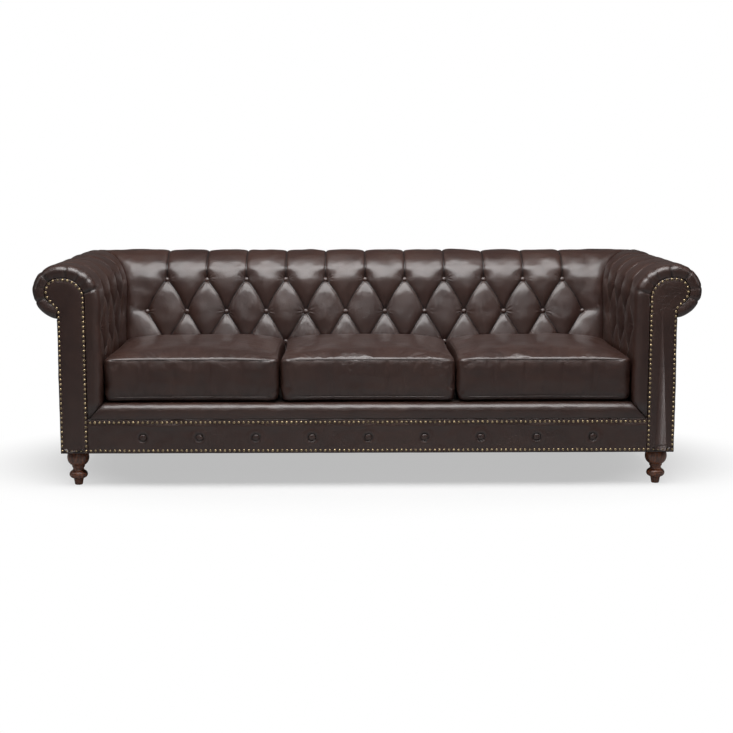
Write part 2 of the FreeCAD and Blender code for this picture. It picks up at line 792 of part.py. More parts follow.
def scroll_outline(side, along, inset, bottom):
    """The wire of an arm's scroll: two straight edges, an arc, a flat and the roll."""
    margin = size("panel_margin") + inset
    inner = size("arm_face") + size("face_foam") + margin
    outer = size("arm_outer") - inset - size("panel_margin") / 2
    arc_up = size("overall_height") - size("arm_scroll_radius")
    top = size("overall_height") - size("roll_foam") - margin
    radius = size("roll_radius") - size("roll_foam") - margin
    roll, scroll, roll_up = size("arm_roll"), size("arm_scroll"), size("roll_height")
    mean = size("arm_scroll_radius") - margin - (size("face_foam") + size("roll_foam")) / 2
    neck = -math.radians(size("neck_angle"))
    end = -math.acos(min((size("arm_outer") - roll) / size("roll_radius"), 1.0))
    neck_up = roll_up + size("roll_radius") * math.sin(end) + size("neck_rise") + margin

    def at(out, up):
        return Vector(side * out, along, up)

    half = math.sqrt(0.5)
    neck_point = at(roll + radius * math.cos(neck), roll_up + radius * math.sin(neck))
    turn = (math.pi / 2 + neck) / 2
    edges = [
        Part.LineSegment(at(inner, bottom), at(inner, arc_up)).toShape(),
        Part.Arc(at(inner, arc_up), at(scroll - mean * half, arc_up + mean * half), at(scroll, top)).toShape(),
        Part.LineSegment(at(scroll, top), at(roll, top)).toShape(),
        Part.Arc(at(roll, top), at(roll + radius * math.cos(turn), roll_up + radius * math.sin(turn)),
                 neck_point).toShape(),
        Part.LineSegment(neck_point, at(outer, neck_up)).toShape(),
        Part.LineSegment(at(outer, neck_up), at(outer, bottom)).toShape(),
    ]
    return edges


def scroll_plate(side, along, thickness, inset, bottom):
    """A flat plate with the arm's scroll outline."""
    edges = scroll_outline(side, along, inset, bottom)
    ends = [edges[-1].Vertexes[-1].Point, edges[0].Vertexes[0].Point]
    closed = Part.Wire(edges + [Part.LineSegment(*ends).toShape()])
    return Part.Face(closed).extrude(Vector(0, thickness, 0))


for name, side in (("left_arm", -1), ("right_arm", 1)):
    shaped(name + "_facing", scroll_plate(side, size("panel_front"), size("panel_thickness"), 0,
                                          size("underside_height")))
    shaped(name + "_scroll_board", scroll_plate(side, size("frame_front"), size("scroll_board"),
                                                size("panel_thickness"), size("frame_bottom")))

# Leather panel on the front rail, with a dimple under each button

RAIL_BUTTONS = 9


def rail_panel():
    """The panel between the facings."""
    reach = size("arm_face") + size("face_foam") + size("panel_margin") - size("gap")
    low, high = size("underside_height"), size("rail_top")
    panel = Part.makeBox(2 * reach, size("panel_thickness"), high - low,
                         Vector(-reach, size("panel_front"), low))
    for number in range(RAIL_BUTTONS):
        across = (number - (RAIL_BUTTONS - 1) / 2) * size("rail_button_pitch")
        dimple = Part.makeCone(size("rail_dimple_width") / 2, size("rail_button") / 2 + size("gap"),
                               size("rail_dimple"),
                               Vector(across, size("panel_front"), size("rail_button_height")),
                               Vector(0, 1, 0))
        panel = panel.cut(dimple)
    return panel


shaped("rail_panel", rail_panel())

# Buttons and nails


def domed(head, rise, shank, length, arcs=1):
    """A round head on a thin shank, head upwards along +Z, seated on the XY plane."""
    radius = head / 2
    ball = (radius * radius + rise * rise) / (2 * rise)
    step = math.asin(radius / ball) / (2 * arcs)
    rim = [Vector(ball * math.sin(step * number), 0, rise - ball + ball * math.cos(step * number))
           for number in range(2 * arcs + 1)]
    edges = [Part.Arc(*rim[start:start + 3]).toShape() for start in range(0, 2 * arcs, 2)]
    edges += [
        Part.LineSegment(Vector(radius, 0, 0), Vector(shank / 2, 0, 0)).toShape(),
        Part.LineSegment(Vector(shank / 2, 0, 0), Vector(shank / 2, 0, -length)).toShape(),
        Part.LineSegment(Vector(shank / 2, 0, -length), Vector(0, 0, -length)).toShape(),
        Part.LineSegment(Vector(0, 0, -length), Vector(0, 0, rise)).toShape(),
    ]
    return Part.Face(Part.Wire(edges)).revolve(Vector(0, 0, 0), Vector(0, 0, 1), 360)


def planted(form, seats):
    """Copies of a form at each seat: a place and the way its head points."""
    copies = []
    for place, direction in seats:
        copy = form.copy()
        copy.Placement = FreeCAD.Placement(place, FreeCAD.Rotation(Vector(0, 0, 1), direction))
        copies.append(copy)
    return Part.makeCompound(copies)


def tuft_seats(sections, columns, last_low, place):
    """Seats of the buttons on the crossings of the pleats."""
    seats = []
    lift = size("tuft_button_stand") - size("tuft_sink")
    for step in (LOW, MIDDLE, HIGH):
        (out, up), normal, base = sections[step]
        for column in columns:
            on_line = column % 4 == (2 if step == MIDDLE else 0)
            if on_line and (step == HIGH or column <= last_low):
                point = place(column, out + lift * normal[0], up + lift * normal[1])
                seats.append((point, place(column, *normal) - place(column, 0, 0)))
    return seats


tuft_form = domed(size("tuft_button"), size("tuft_button_rise"), size("twine"), size("twine_length"))
quarter = size("tuft_pitch") / 4
shaped("back_buttons", planted(tuft_form, tuft_seats(
    back_stations, range(-BACK_LAST_COLUMN, BACK_LAST_COLUMN + 1), BACK_LAST_COLUMN,
    lambda column, out, up: Vector(column * quarter, out, up))))
for name, side in (("left_arm", -1), ("right_arm", 1)):
    shaped(name + "_buttons", planted(tuft_form, tuft_seats(
        arm_stations, ARM_COLUMNS, ARM_COLUMNS[-1] - 1,
        lambda column, out, up, side=side: Vector(side * out, arm_column_place(column), up))))

rail_form = domed(size("rail_button"), size("rail_button_rise"), size("twine"),
                  size("panel_thickness") - size("rail_dimple"), arcs=4)
rail_seat = size("panel_front") + size("rail_dimple")
shaped("rail_buttons", planted(rail_form, [
    (Vector((number - (RAIL_BUTTONS - 1) / 2) * size("rail_button_pitch"), rail_seat,
            size("rail_button_height")), Vector(0, -1, 0))
    for number in range(RAIL_BUTTONS)]))


def along_row(start, end, pitch):
    """Evenly spaced places on a straight row, ends included."""
    count = max(round((end - start).Length / pitch), 1)
    return [start + (end - start) * (number / count) for number in range(count + 1)]


def nail_places():
    """Places of the nails on the facings and on both rows of the rail."""
    front, inset, pitch = size("panel_front"), size("nail_inset"), size("nail_pitch")
    places = []
    low, high = size("nail_low_row"), size("nail_high_row")
    inner = size("arm_face") + size("face_foam") + size("panel_margin")
    outer = size("arm_outer") - size("panel_margin") / 2 - inset
    places += along_row(Vector(-outer, front, low), Vector(outer, front, low), pitch)
    reach = inner - 2 * inset
    places += along_row(Vector(-reach, front, high), Vector(reach, front, high), pitch)
    for side in (-1, 1):
        path = Part.Wire(scroll_outline(side, front, inset, low + pitch))
        places += path.discretize(Number=round(path.Length / pitch) + 1)
    return places


nail_form = domed(size("nail_head"), size("nail_rise"), size("nail_shank"), size("nail_length"))
shaped("trim_nails", planted(nail_form, [(place, Vector(0, -1, 0)) for place in nail_places()]))

# Loose seat cushions

# Places along a side as shares of half its length, and sizes of the rings below and on the top
SIDE_SHARES = (-0.86, -0.52, -0.17, 0.17, 0.52, 0.86)
BOTTOM_RING = 0.93
TOP_RINGS = (0.93, 0.80, 0.60, 0.33)


def crown_share(across, along):
    """Rise of the crown at a place on the top, as shares of half its width and depth."""
    return (1 - abs(across) ** 3) * (1 - abs(along) ** 3)


def cushion_rings(low, high, inset):
    """Rings of points from the flat underside to the crown, and the crown's middle."""
    middle = (low + high) / 2
    half = (high - low) / 2 - Vector(inset, inset, 0)
    corner = size("cushion_corner") * (1 - math.sqrt(0.5))
    rim = []
    for turn in range(4):
        for share in SIDE_SHARES:
            rim.append((turn, share))
        rim.append((turn, None))

    def ring(width, up, bulge):
        line = []
        for turn, share in rim:
            reach = half.y if turn % 2 == 0 else half.x
            side = half.x if turn % 2 == 0 else half.y
            if share is None:
                run, out = side - corner, reach - corner
            else:
                draw = size("cushion_draw") * (1 - share * share) * (0 if turn == 2 else 1)
                run, out = side * share, reach - draw + bulge * (1 - share ** 4)
            run, out = run * width, out * width
            across, along = [(run, -out), (out, run), (-run, out), (-out, -run)][turn]
            line.append(Vector(middle.x + across, middle.y + along, up))
        return line

    seam_low, seam_high = size("cushion_low_seam"), size("cushion_high_seam")
    shoulder, bulge = size("cushion_shoulder"), size("cushion_bulge")
    rings = [ring(BOTTOM_RING, low.z + inset, 0), ring(1.0, seam_low, 0),
             ring(1.0, seam_low + shoulder, bulge), ring(1.0, seam_high - shoulder, bulge),
             ring(1.0, seam_high - inset, 0)]
    for width in TOP_RINGS:
        line = ring(width, seam_high - inset, 0)
        for point in line:
            point.z += size("cushion_crown") * crown_share((point.x - middle.x) / half.x,
                                                           (point.y - middle.y) / half.y)
        rings.append(line)
    return rings, Vector(middle.x, middle.y, seam_high - inset + size("cushion_crown"))


def cushion_solid(low, high, inset):
    """A box cushion with a crowned top, closed by a fan above and below."""
    rings, crown = cushion_rings(low, high, inset)
    count = len(rings[0])
    bottom = Vector(crown.x, crown.y, rings[0][0].z)
    points = [point for line in rings for point in line] + [crown, bottom]
    top_index, bottom_index = len(points) - 2, len(points) - 1
    triangles = []
    for level in range(len(rings) - 1):
        for number in range(count):
            a, b = level * count + number, level * count + (number + 1) % count
            c, d = a + count, b + count
            triangles += [(a, b, d), (a, d, c)]
    last = (len(rings) - 1) * count
    for number in range(count):
        after = (number + 1) % count
        triangles.append((last + number, last + after, top_index))
        triangles.append((after, number, bottom_index))
    return solid_of(points, triangles)


cushion_reach = size("arm_face") - size("cushion_side_gap")
cushion_width = (2 * cushion_reach - 2 * size("cushion_gap")) / 3
cushion_front = size("front") + size("cushion_overhang")
cushion_rear = size("back_face") - size("cushion_back_gap")
cushion_low = size("deck_top") + size("gap")
zip_rear = cushion_rear + size("cushion_bulge")

for number, name in enumerate(("left", "middle", "right")):
    start = number * (cushion_width + size("cushion_gap")) - cushion_reach
    low = Vector(start, cushion_front, cushion_low)
    high = Vector(start + cushion_width, cushion_rear, size("cushion_high_seam"))
    whole = cushion_solid(low, high, 0)
    hollow = cushion_solid(low, high, size("leather"))
    shaped(name + "_cushion_cover", whole.cut(hollow))
    shaped(name + "_cushion_core", cushion_solid(low, high, size("leather") + size("gap")))
    middle = start + cushion_width / 2
    zip_up = (size("cushion_low_seam") + size("cushion_high_seam")) / 2
    tape = Part.makeBox(size("zip_length"), size("zip_thickness"), size("zip_width"),
                        Vector(middle - size("zip_length") / 2, zip_rear + size("gap") / 3,
                               zip_up - size("zip_width") / 2))
    shaped(name + "_cushion_zip", tape)
    slider_start = middle - size("zip_length") / 2 + size("gap")
    slider_rear = zip_rear + size("zip_thickness") + 2 * size("gap")
    body = Part.makeBox(size("zip_slider_length"), size("zip_slider_thickness"), size("zip_slider_width"),
                        Vector(slider_start, slider_rear, zip_up - size("zip_slider_width") / 2))
    pull = Part.makeBox(size("zip_slider_width") / 2, size("zip_slider_thickness") / 2, size("zip_pull"),
                        Vector(slider_start + size("zip_slider_width") / 2,
                               slider_rear + size("zip_slider_thickness") / 4, zip_up - size("zip_pull")))
    shaped(name + "_zip_slider", body.fuse(pull).removeSplitter())

# Sinuous springs and their clips

SPRINGS_PER_SEAT = 3


def spring(middle, start, end, up):
    """A wire that runs to and fro, joined by half turns."""
    turn, reach, wire = size("spring_turn"), size("spring_reach"), size("spring_wire")
    bars = int((end - start) // (2 * turn)) + 1
    edges = []
    for number in range(bars):
        side = 1 if number % 2 == 0 else -1
        along = start + number * 2 * turn
        edges.append(Part.LineSegment(Vector(middle - side * reach, along, up),
                                      Vector(middle + side * reach, along, up)).toShape())
        if number < bars - 1:
            edges.append(Part.Arc(Vector(middle + side * reach, along, up),
                                  Vector(middle + side * (reach + turn), along + turn, up),
                                  Vector(middle + side * reach, along + 2 * turn, up)).toShape())
    path = Part.Wire(edges)
    section = Part.Wire(Part.makeCircle(wire / 2, Vector(middle - reach, start, up), Vector(1, 0, 0)))
    return path.makePipeShell([section], True, False), start + (bars - 1) * 2 * turn


def clip(middle, along, up, toward):
    """A bracket on a rail with a bore for the spring's last bar."""
    reach, wire = size("spring_reach"), size("spring_wire")
    deep = abs(toward - along) + wire
    body = Part.makeBox(reach, deep, 3 * wire, Vector(middle - reach / 2, min(toward, along - wire),
                                                      up - 1.5 * wire))
    bore = Part.makeCylinder(wire / 2 + size("gap"), reach, Vector(middle - reach / 2, along, up),
                             Vector(1, 0, 0))
    return body.cut(bore)


springs, clips = [], []
spring_start = size("rail_rear") + 2 * size("spring_wire")
spring_end = size("tack_back") - 2 * size("spring_wire")
for number in range(3 * SPRINGS_PER_SEAT):
    middle = (number - (3 * SPRINGS_PER_SEAT - 1) / 2) * cushion_width / SPRINGS_PER_SEAT
    made, last = spring(middle, spring_start, spring_end, size("spring_height"))
    springs.append(made)
    clips.append(clip(middle, spring_start, size("spring_height"), size("rail_rear")))
    clips.append(clip(middle, last, size("spring_height"), size("tack_back")))
shaped("seat_springs", Part.makeCompound(springs))
shaped("spring_clips", Part.makeCompound(clips))

# Check every object, then write one file for each sub-part

document.recompute()
for item in document.Objects:
    if "Invalid" in item.State or "Error" in item.State:
        raise RuntimeError("failed object: " + item.Label)
for item in subparts:
    if item.Shape.isNull() or not item.Shape.isValid() or not item.Shape.Solids:
        raise RuntimeError("bad shape: " + item.Label)
os.makedirs("parts", exist_ok=True)
for item in subparts:
    item.Shape.exportStep(os.path.join("parts", item.Label + ".step"))
print(len(subparts), "sub-parts written")
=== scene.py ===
import json
import math

import bpy
import numpy as np
from bpy.props import FloatProperty, FloatVectorProperty, IntProperty, PointerProperty
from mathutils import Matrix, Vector
from mathutils.bvhtree import BVHTree


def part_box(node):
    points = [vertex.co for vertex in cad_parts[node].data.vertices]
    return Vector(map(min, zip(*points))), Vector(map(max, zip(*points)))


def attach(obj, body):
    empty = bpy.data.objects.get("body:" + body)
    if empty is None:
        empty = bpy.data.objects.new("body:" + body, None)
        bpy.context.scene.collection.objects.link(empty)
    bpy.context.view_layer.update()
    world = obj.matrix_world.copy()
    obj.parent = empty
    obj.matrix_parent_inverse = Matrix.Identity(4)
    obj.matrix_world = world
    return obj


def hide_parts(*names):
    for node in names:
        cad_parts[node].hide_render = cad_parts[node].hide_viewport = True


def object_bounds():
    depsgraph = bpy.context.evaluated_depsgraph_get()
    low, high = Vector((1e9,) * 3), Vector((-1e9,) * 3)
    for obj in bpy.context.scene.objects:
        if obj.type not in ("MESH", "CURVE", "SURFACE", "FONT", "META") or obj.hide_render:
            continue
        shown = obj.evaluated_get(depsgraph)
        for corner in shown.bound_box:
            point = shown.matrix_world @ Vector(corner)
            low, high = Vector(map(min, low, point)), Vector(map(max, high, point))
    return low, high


bl_info = {
    "name": "Buttoned leather sofa",
    "version": (1, 0, 0),
    "blender": (4, 5, 0),
    "location": "3D View > Sidebar > Sofa",
    "description": "Builds the leather, wood, metal and cloth of a rolled-arm sofa round its frame",
    "category": "Object",
}

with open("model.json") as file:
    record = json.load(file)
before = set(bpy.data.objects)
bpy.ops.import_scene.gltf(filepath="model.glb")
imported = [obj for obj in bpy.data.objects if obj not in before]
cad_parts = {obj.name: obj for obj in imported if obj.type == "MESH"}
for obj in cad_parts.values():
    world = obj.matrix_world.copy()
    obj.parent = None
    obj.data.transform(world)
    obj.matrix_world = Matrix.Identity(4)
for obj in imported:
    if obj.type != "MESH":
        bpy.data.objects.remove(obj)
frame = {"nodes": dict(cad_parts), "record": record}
CAD_LOW, CAD_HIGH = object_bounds()

# Levels and planes that the frame gives
HALF_WIDTH, FRONT, REAR, TOP = CAD_HIGH.x, CAD_LOW.y, CAD_HIGH.y, CAD_HIGH.z
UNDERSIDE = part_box("rail_panel")[0].z
RAIL_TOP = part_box("rail_panel")[1].z
PANEL_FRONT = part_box("rail_panel")[0].y
PANEL_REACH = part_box("rail_panel")[1].x
RAIL_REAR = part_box("front_rail")[1].y
ARM_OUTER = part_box("right_outer_arm_panel")[1].x
BACK_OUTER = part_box("outer_back_panel")[1].y
LIP_LOW, LIP_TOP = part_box("lip_cover")[0].z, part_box("back_cover")[0].z
DECK_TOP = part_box("deck_cover")[1].z

SIDES = (("left", -1), ("right", 1))


def length(name, description, default):
    """A size in metres."""
    return FloatProperty(name=name, description=description, default=default, unit="LENGTH", precision=4)


def colour(name, description, default):
    """A colour, as it is before light falls on it."""
    return FloatVectorProperty(name=name, description=description, default=default, subtype="COLOR",
                               size=3, min=0.0, max=1.0)


class SofaSizes(bpy.types.PropertyGroup):
    """Sizes of the upholstery and its trim."""
    button_pitch: length("Button pitch", "Distance between the buttons of one row", 0.1535)
    row_high: length("High row", "Height of the highest row of buttons", 0.672)
    row_middle: length("Middle row", "Height of the middle row of buttons", 0.549)
    row_low: length("Low row", "Height of the lowest row of buttons", 0.428)
    first_arm_button: length("First arm button", "Middle-row button behind the front of the arm", 0.095)
    pillow: length("Pillow height", "Height of the pillows above the buttons", 0.030)
    roll_radius: length("Roll radius", "Radius of the outer half of a roll", 0.093)
    roll_crown: length("Roll crown", "Flat on top of a roll", 0.018)
    arm_width: length("Arm width", "Arm from its seat side to its outer panel", 0.147)
    back_scroll: length("Back scroll", "Radius of the seat side of the back's roll", 0.150)
    back_lean: FloatProperty(name="Back lean", description="Slope of the back behind the sitter",
                             default=math.radians(13), subtype="ANGLE")
    break_height: length("Break height", "Height where the back starts to lean", 0.428)
    face_foam: length("Face foam", "Foam on the seat side", 0.051)
    roll_foam: length("Roll foam", "Foam on the rolls", 0.044)
    neck_rise: length("Neck rise", "Height of the tack line over the roll's lower edge", 0.025)
    gather_depth: length("Gather depth", "Depth of the gathers at the front of an arm", 0.0080)
    gather_width: length("Gather width", "Half the width of a gather", 0.013)
    gather_radius: length("Gather radius", "Middle of the gathered ring", 0.11)
    front_round: length("Front rounding", "Rounding at the front of an arm", 0.037)
    seam_sink: length("Seam sink", "Depth of the seam between arm and back", 0.007)
    cushion_low_seam: length("Low seam", "Height of a cushion's lower seam", 0.312)
    cushion_high_seam: length("High seam", "Height of a cushion's upper seam", 0.445)
    cushion_crown: length("Cushion crown", "Rise of a cushion's top over its seam", 0.029)
    cushion_draw: length("Cushion draw", "How far a cushion's sides pull in", 0.007)
    cushion_corner: length("Cushion corner", "Radius of a cushion's corners", 0.022)
    welt: length("Welt", "Thickness of the rolled seam of a cushion", 0.0042)
    button: length("Button", "Diameter of a leather-covered button", 0.020)
    rail_button: length("Rail button", "Diameter of a button on the front rail", 0.022)
    rail_dimple: length("Rail dimple", "Depth of the leather round a rail button", 0.004)
    nail_head: length("Nail head", "Diameter of a trim nail", 0.0095)
    nail_rise: length("Nail rise", "Height of a trim nail's dome", 0.0030)
    stitch: length("Stitch", "Length of one stitch with its gap", 0.0045)
    fine: IntProperty(name="Fineness", description="Grid lines between two rows of buttons", default=20)


class SofaColours(bpy.types.PropertyGroup):
    """Colours of the materials."""
    leather: colour("Leather", "Face of the leather", (0.0260, 0.0100, 0.0070))
    # Dark colour for random patches, and for painted shade in creases, pleats and hollows
    leather_patches_and_painted_shade: colour("Dark patches and painted shade", "Random dark patches, and painted shade in pleats and hollows", (0.0060, 0.0021, 0.0015))
    leather_worn: colour("Leather on crests", "Leather where it is rubbed", (0.0350, 0.0150, 0.0105))
    thread: colour("Thread", "Sewing thread", (0.030, 0.016, 0.012))
    brass: colour("Brass", "Polished part of a nail head", (0.47, 0.36, 0.21))
    patina: colour("Patina", "Dull part of a nail head", (0.11, 0.078, 0.045))
    walnut: colour("Walnut", "Light grain of the feet", (0.210, 0.070, 0.030))
    walnut_dark: colour("Dark walnut", "Dark grain of the feet", (0.060, 0.018, 0.009))
    floor: colour("Floor", "Studio floor", (0.30, 0.30, 0.30))


class StudioSettings(bpy.types.PropertyGroup):
    """Camera and lamps."""
    lens: FloatProperty(name="Lens", description="Focal length of the camera in millimetres", default=74.65)
    place: FloatVectorProperty(name="Camera place", description="Where the camera stands",
                               default=(-0.0865, -5.653, 1.1435), subtype="TRANSLATION", unit="LENGTH")
    tilt: FloatProperty(name="Tilt", description="How far the camera looks down",
                        default=math.radians(7.92), subtype="ANGLE")
    turn: FloatProperty(name="Turn", description="How far the camera looks to the right",
                        default=math.radians(0.894), subtype="ANGLE")
    key: FloatProperty(name="Key lamp", description="Power of the lamp overhead in watts", default=185.0)
    fill: FloatProperty(name="Fill lamp", description="Power of the lamp by the camera in watts",
                        default=12.0)
    side: FloatProperty(name="Side lamps", description="Power of each side lamp in watts", default=10.0)
    room: FloatProperty(name="Room light", description="Brightness of the room", default=0.06)


# Nodes and the arithmetic on their sockets

class Value:
    """A socket whose arithmetic adds Math nodes to its graph."""

    def __init__(self, graph, socket):
        self.graph = graph
        self.socket = socket

    def math(self, operation, *others):
        return self.graph.node("ShaderNodeMath", {"operation": operation},
                               dict(enumerate((self,) + others)))

    def __add__(self, other):
        return self.math("ADD", other)

    def __sub__(self, other):
        return self.math("SUBTRACT", other)

    def __mul__(self, other):
        return self.math("MULTIPLY", other)

    def __truediv__(self, other):
        return self.math("DIVIDE", other)

    def __rsub__(self, other):
        return self.graph.node("ShaderNodeMath", {"operation": "SUBTRACT"}, {0: other, 1: self})

    __radd__ = __add__
    __rmul__ = __mul__

    def clamped(self):
        return self.graph.node("ShaderNodeClamp", {}, {"Value": self})


class Graph:
    """Adds nodes to a tree of any kind."""

    def __init__(self, tree):
        self.tree = tree

    def node(self, kind, settings=None, inputs=None, out=0):
        """A node with its settings made first, then its inputs; gives back one of its outputs."""
        made = self.tree.nodes.new(kind)
        for name, value in (settings or {}).items():
            setattr(made, name, value)
        for key, value in (inputs or {}).items():
            socket = made.inputs[key] if isinstance(key, int) else next(
                item for item in made.inputs if key in (item.identifier, item.name) and item.enabled)
            if isinstance(value, Value):
                self.tree.links.new(value.socket, socket)
            else:
                socket.default_value = value
        if not made.outputs:
            return made
        found = made.outputs[out] if isinstance(out, int) else next(
            item for item in made.outputs if out in (item.identifier, item.name))
        return Value(self, found)


class Shader(Graph):
    """A material whose surface is one Principled shader."""

    def __init__(self, name):
        self.material = bpy.data.materials.new(name)
        self.material.use_nodes = True
        super().__init__(self.material.node_tree)
        self.surface = self.tree.nodes["Principled BSDF"]
        self.place = self.node("ShaderNodeTexCoord", out="Object")

    def set(self, **values):
        """Set sockets of the surface; words are joined by underscores."""
        for name, value in values.items():
            socket = self.surface.inputs[name.replace("_", " ")]
            if isinstance(value, Value):
                self.tree.links.new(value.socket, socket)
            else:
                socket.default_value = (*value, 1.0) if isinstance(value, (tuple, Vector)) else value

    def noise(self, scale, detail=3.0, place=None, rough=0.5):
        return self.node("ShaderNodeTexNoise", {}, {"Vector": place or self.place, "Scale": scale,
                                                    "Detail": detail, "Roughness": rough})

    def cells(self, scale, place):
        """Distance to the edge of random cells."""
        return self.node("ShaderNodeTexVoronoi", {"feature": "DISTANCE_TO_EDGE"},
                         {"Vector": place, "Scale": scale})

    def stretched(self, scale, place=None):
        """The place with its axes scaled, for grain and threads."""
        return self.node("ShaderNodeMapping", {}, {"Vector": place or self.place, "Scale": scale})

    def axes(self, vector):
        """The three numbers of a vector."""
        return [self.node("ShaderNodeSeparateXYZ", {}, {"Vector": vector}, out=axis) for axis in range(3)]

    def warped(self, scale, amount):
        """The place moved about by noise."""
        noise = self.node("ShaderNodeTexNoise", {}, {"Vector": self.place, "Scale": scale}, out="Color")
        shift = self.node("ShaderNodeVectorMath", {"operation": "MULTIPLY_ADD"},
                          {0: noise, 1: (amount,) * 3, 2: (-amount / 2,) * 3})
        return self.node("ShaderNodeVectorMath", {"operation": "ADD"}, {0: self.place, 1: shift})

    def between(self, value, low, high):
        """0 below low, 1 above high, and smooth between them."""
        return self.node("ShaderNodeMapRange", {"interpolation_type": "SMOOTHSTEP"},
                         {"Value": value, "From Min": low, "From Max": high})

    def mixed(self, share, first, second):
        """A colour between two colours."""
        colours = [value if isinstance(value, Value) else (*value, 1.0) for value in (first, second)]
        return self.node("ShaderNodeMix", {"data_type": "RGBA"},
                         {"Factor_Float": share, "A_Color": colours[0], "B_Color": colours[1]},
                         out="Result_Color")

    def bump(self, height, distance, strength=1.0, under=None):
        inputs = {"Height": height, "Distance": distance, "Strength": strength}
        if under:
            inputs["Normal"] = under
        return self.node("ShaderNodeBump", {}, inputs)

    def attribute(self, name, out="Fac"):
        return self.node("ShaderNodeAttribute", {"attribute_name": name}, out=out)


# Materials

BUTTON_FOLDS = 13
FOLD_REACH = 0.045


def button_folds(shader, sizes):
    """Fine folds that run out from each button, on the lattice that the pleats follow."""
    u, w, inside = shader.axes(shader.attribute("lattice", out="Vector"))
    row = w.math("ROUND").math("MAXIMUM", 0.0).math("MINIMUM", 2.0)
    shift = row.math("MODULO", 2.0) * 0.5
    across = (u - ((u - shift).math("ROUND") + shift)) * sizes.button_pitch
    down = (w - row) * (sizes.row_high - sizes.row_middle)
    reach = (across * across + down * down).math("SQRT")
    turn = down.math("ARCTAN2", across)
    wander = shader.noise(30.0, 2.0) * 5.0
    folds = (turn * float(BUTTON_FOLDS) + wander).math("SINE")
    near = 1.0 - shader.between(reach, sizes.button * 0.5, FOLD_REACH)
    near = near * shader.between(inside, 0.4, 0.7)
    return folds * near * shader.between(shader.noise(18.0, 1.0), 0.35, 0.62)


def pleat_lines(shader):
    """1 in the sharp fold of each pleat, on the lattice that the pleats follow."""
    u, w, inside = shader.axes(shader.attribute("lattice", out="Vector"))
    slanting = [(line - (line / 2.0).math("ROUND") * 2.0).math("ABSOLUTE")
                for line in (w + u * 2.0, w - u * 2.0)]
    slant = slanting[0].math("MINIMUM", slanting[1])
    upright = (u - u.math("ROUND")).math("ABSOLUTE") * 2.0
    rows = shader.between(w, -0.04, 0.0) * (1.0 - shader.between(w, 2.0, 2.04))
    off = slant * rows + upright * (1.0 - rows)
    return (1.0 - shader.between(off, 0.010, 0.040)) * shader.between(inside, 0.4, 0.7)


def leather(name, sizes, colours, buttoned=False):
    """Waxed dark leather with pebbled grain, hairline creases and rubbed crests, and painted shade in its
    hollows and pleats.
    """
    shader = Shader(name)
    # Painted shade: this mask darkens the colour in hollows, pleats, gathers and corners
    painted_shade = shader.attribute("painted_shade").clamped()
    if buttoned:
        # painted shade along the folds of the pleats as well
        painted_shade = painted_shade.math("MAXIMUM", pleat_lines(shader))
    cloud = shader.noise(5.0, 4.0)
    patch = shader.noise(17.0, 3.0, place=shader.warped(9.0, 0.03))
    face = shader.mixed(shader.between(cloud, 0.35, 0.68), tuple(colours.leather),
                        tuple(colours.leather_worn))
    face = shader.mixed(shader.between(patch, 0.42, 0.70) * 0.22, face, tuple(colours.leather_patches_and_painted_shade))
    # Painted shade: hollows and pleats drawn nearly as dark as the deep colour
    face = shader.mixed(painted_shade * 0.95, face, tuple(colours.leather_patches_and_painted_shade))
    grain = shader.between(shader.cells(560.0, place=shader.warped(240.0, 0.0012)), 0.02, 0.30)
    pores = shader.noise(1500.0, 1.0)
    lines = 1.0 - shader.between(shader.cells(46.0, place=shader.warped(22.0, 0.028)), 0.0, 0.035)
    lines = lines * shader.between(shader.noise(9.0, 2.0), 0.50, 0.66)
    normal = shader.bump(shader.noise(13.0, 2.0), 0.0045, 0.55)
    normal = shader.bump(shader.noise(42.0, 2.0), 0.0012, 0.55, normal)
    if buttoned:
        normal = shader.bump(button_folds(shader, sizes), 0.0013, 0.8, normal)
        normal = shader.bump(0.0 - pleat_lines(shader), 0.0030, 0.9, normal)
    normal = shader.bump(0.0 - lines, 0.0006, 0.6, normal)
    normal = shader.bump(grain + pores * 0.25, 0.00030, 0.42, normal)
    rough = 0.285 + shader.noise(11.0, 3.0) * 0.10 + (1.0 - grain) * 0.10 + painted_shade * 0.15
    shader.set(Base_Color=face, Roughness=rough, Normal=normal, IOR=1.5, Specular_IOR_Level=0.5,
               Coat_Weight=0.35, Coat_Roughness=0.17)
    return shader.material


def wood(name, light, dark, gloss, coarse):
    """Wood with growth bands and fine pores along the piece."""
    shader = Shader(name)
    along = shader.stretched(coarse, shader.warped(7.0, 0.02))
    bands = shader.between(shader.noise(30.0, 4.0, place=along, rough=0.6), 0.35, 0.66)
    pores = shader.between(shader.noise(220.0, 2.0, place=along), 0.52, 0.68)
    tone = shader.mixed(bands, dark, light)
    tone = shader.mixed(pores * 0.5, tone, tuple(channel * 0.45 for channel in dark))
    wear = shader.noise(25.0, 2.0)
    normal = shader.bump(0.0 - pores, 0.00025, 0.5)
    shader.set(Base_Color=tone, Roughness=(0.62 - 0.36 * gloss) + wear * 0.12, Normal=normal,
               Coat_Weight=0.45 * gloss, Coat_Roughness=0.16)
    return shader.material


def metal(name, bright, dull, rough, streaks=0.0):
    """Metal with a patchy film of age."""
    shader = Shader(name)
    film = shader.between(shader.noise(150.0, 4.0, rough=0.6), 0.38, 0.66)
    specks = shader.between(shader.noise(900.0, 2.0), 0.60, 0.72)
    tone = shader.mixed(film, bright, dull)
    tone = shader.mixed(specks * 0.6, tone, tuple(channel * 0.4 for channel in dull))
    drawn = shader.noise(400.0, 2.0, place=shader.stretched((1.0, 12.0, 1.0)))
    normal = shader.bump(drawn * streaks + specks, 0.00012, 0.5)
    shader.set(Base_Color=tone, Roughness=rough + film * 0.22, Metallic=1.0 - 0.35 * film, Normal=normal)
    return shader.material


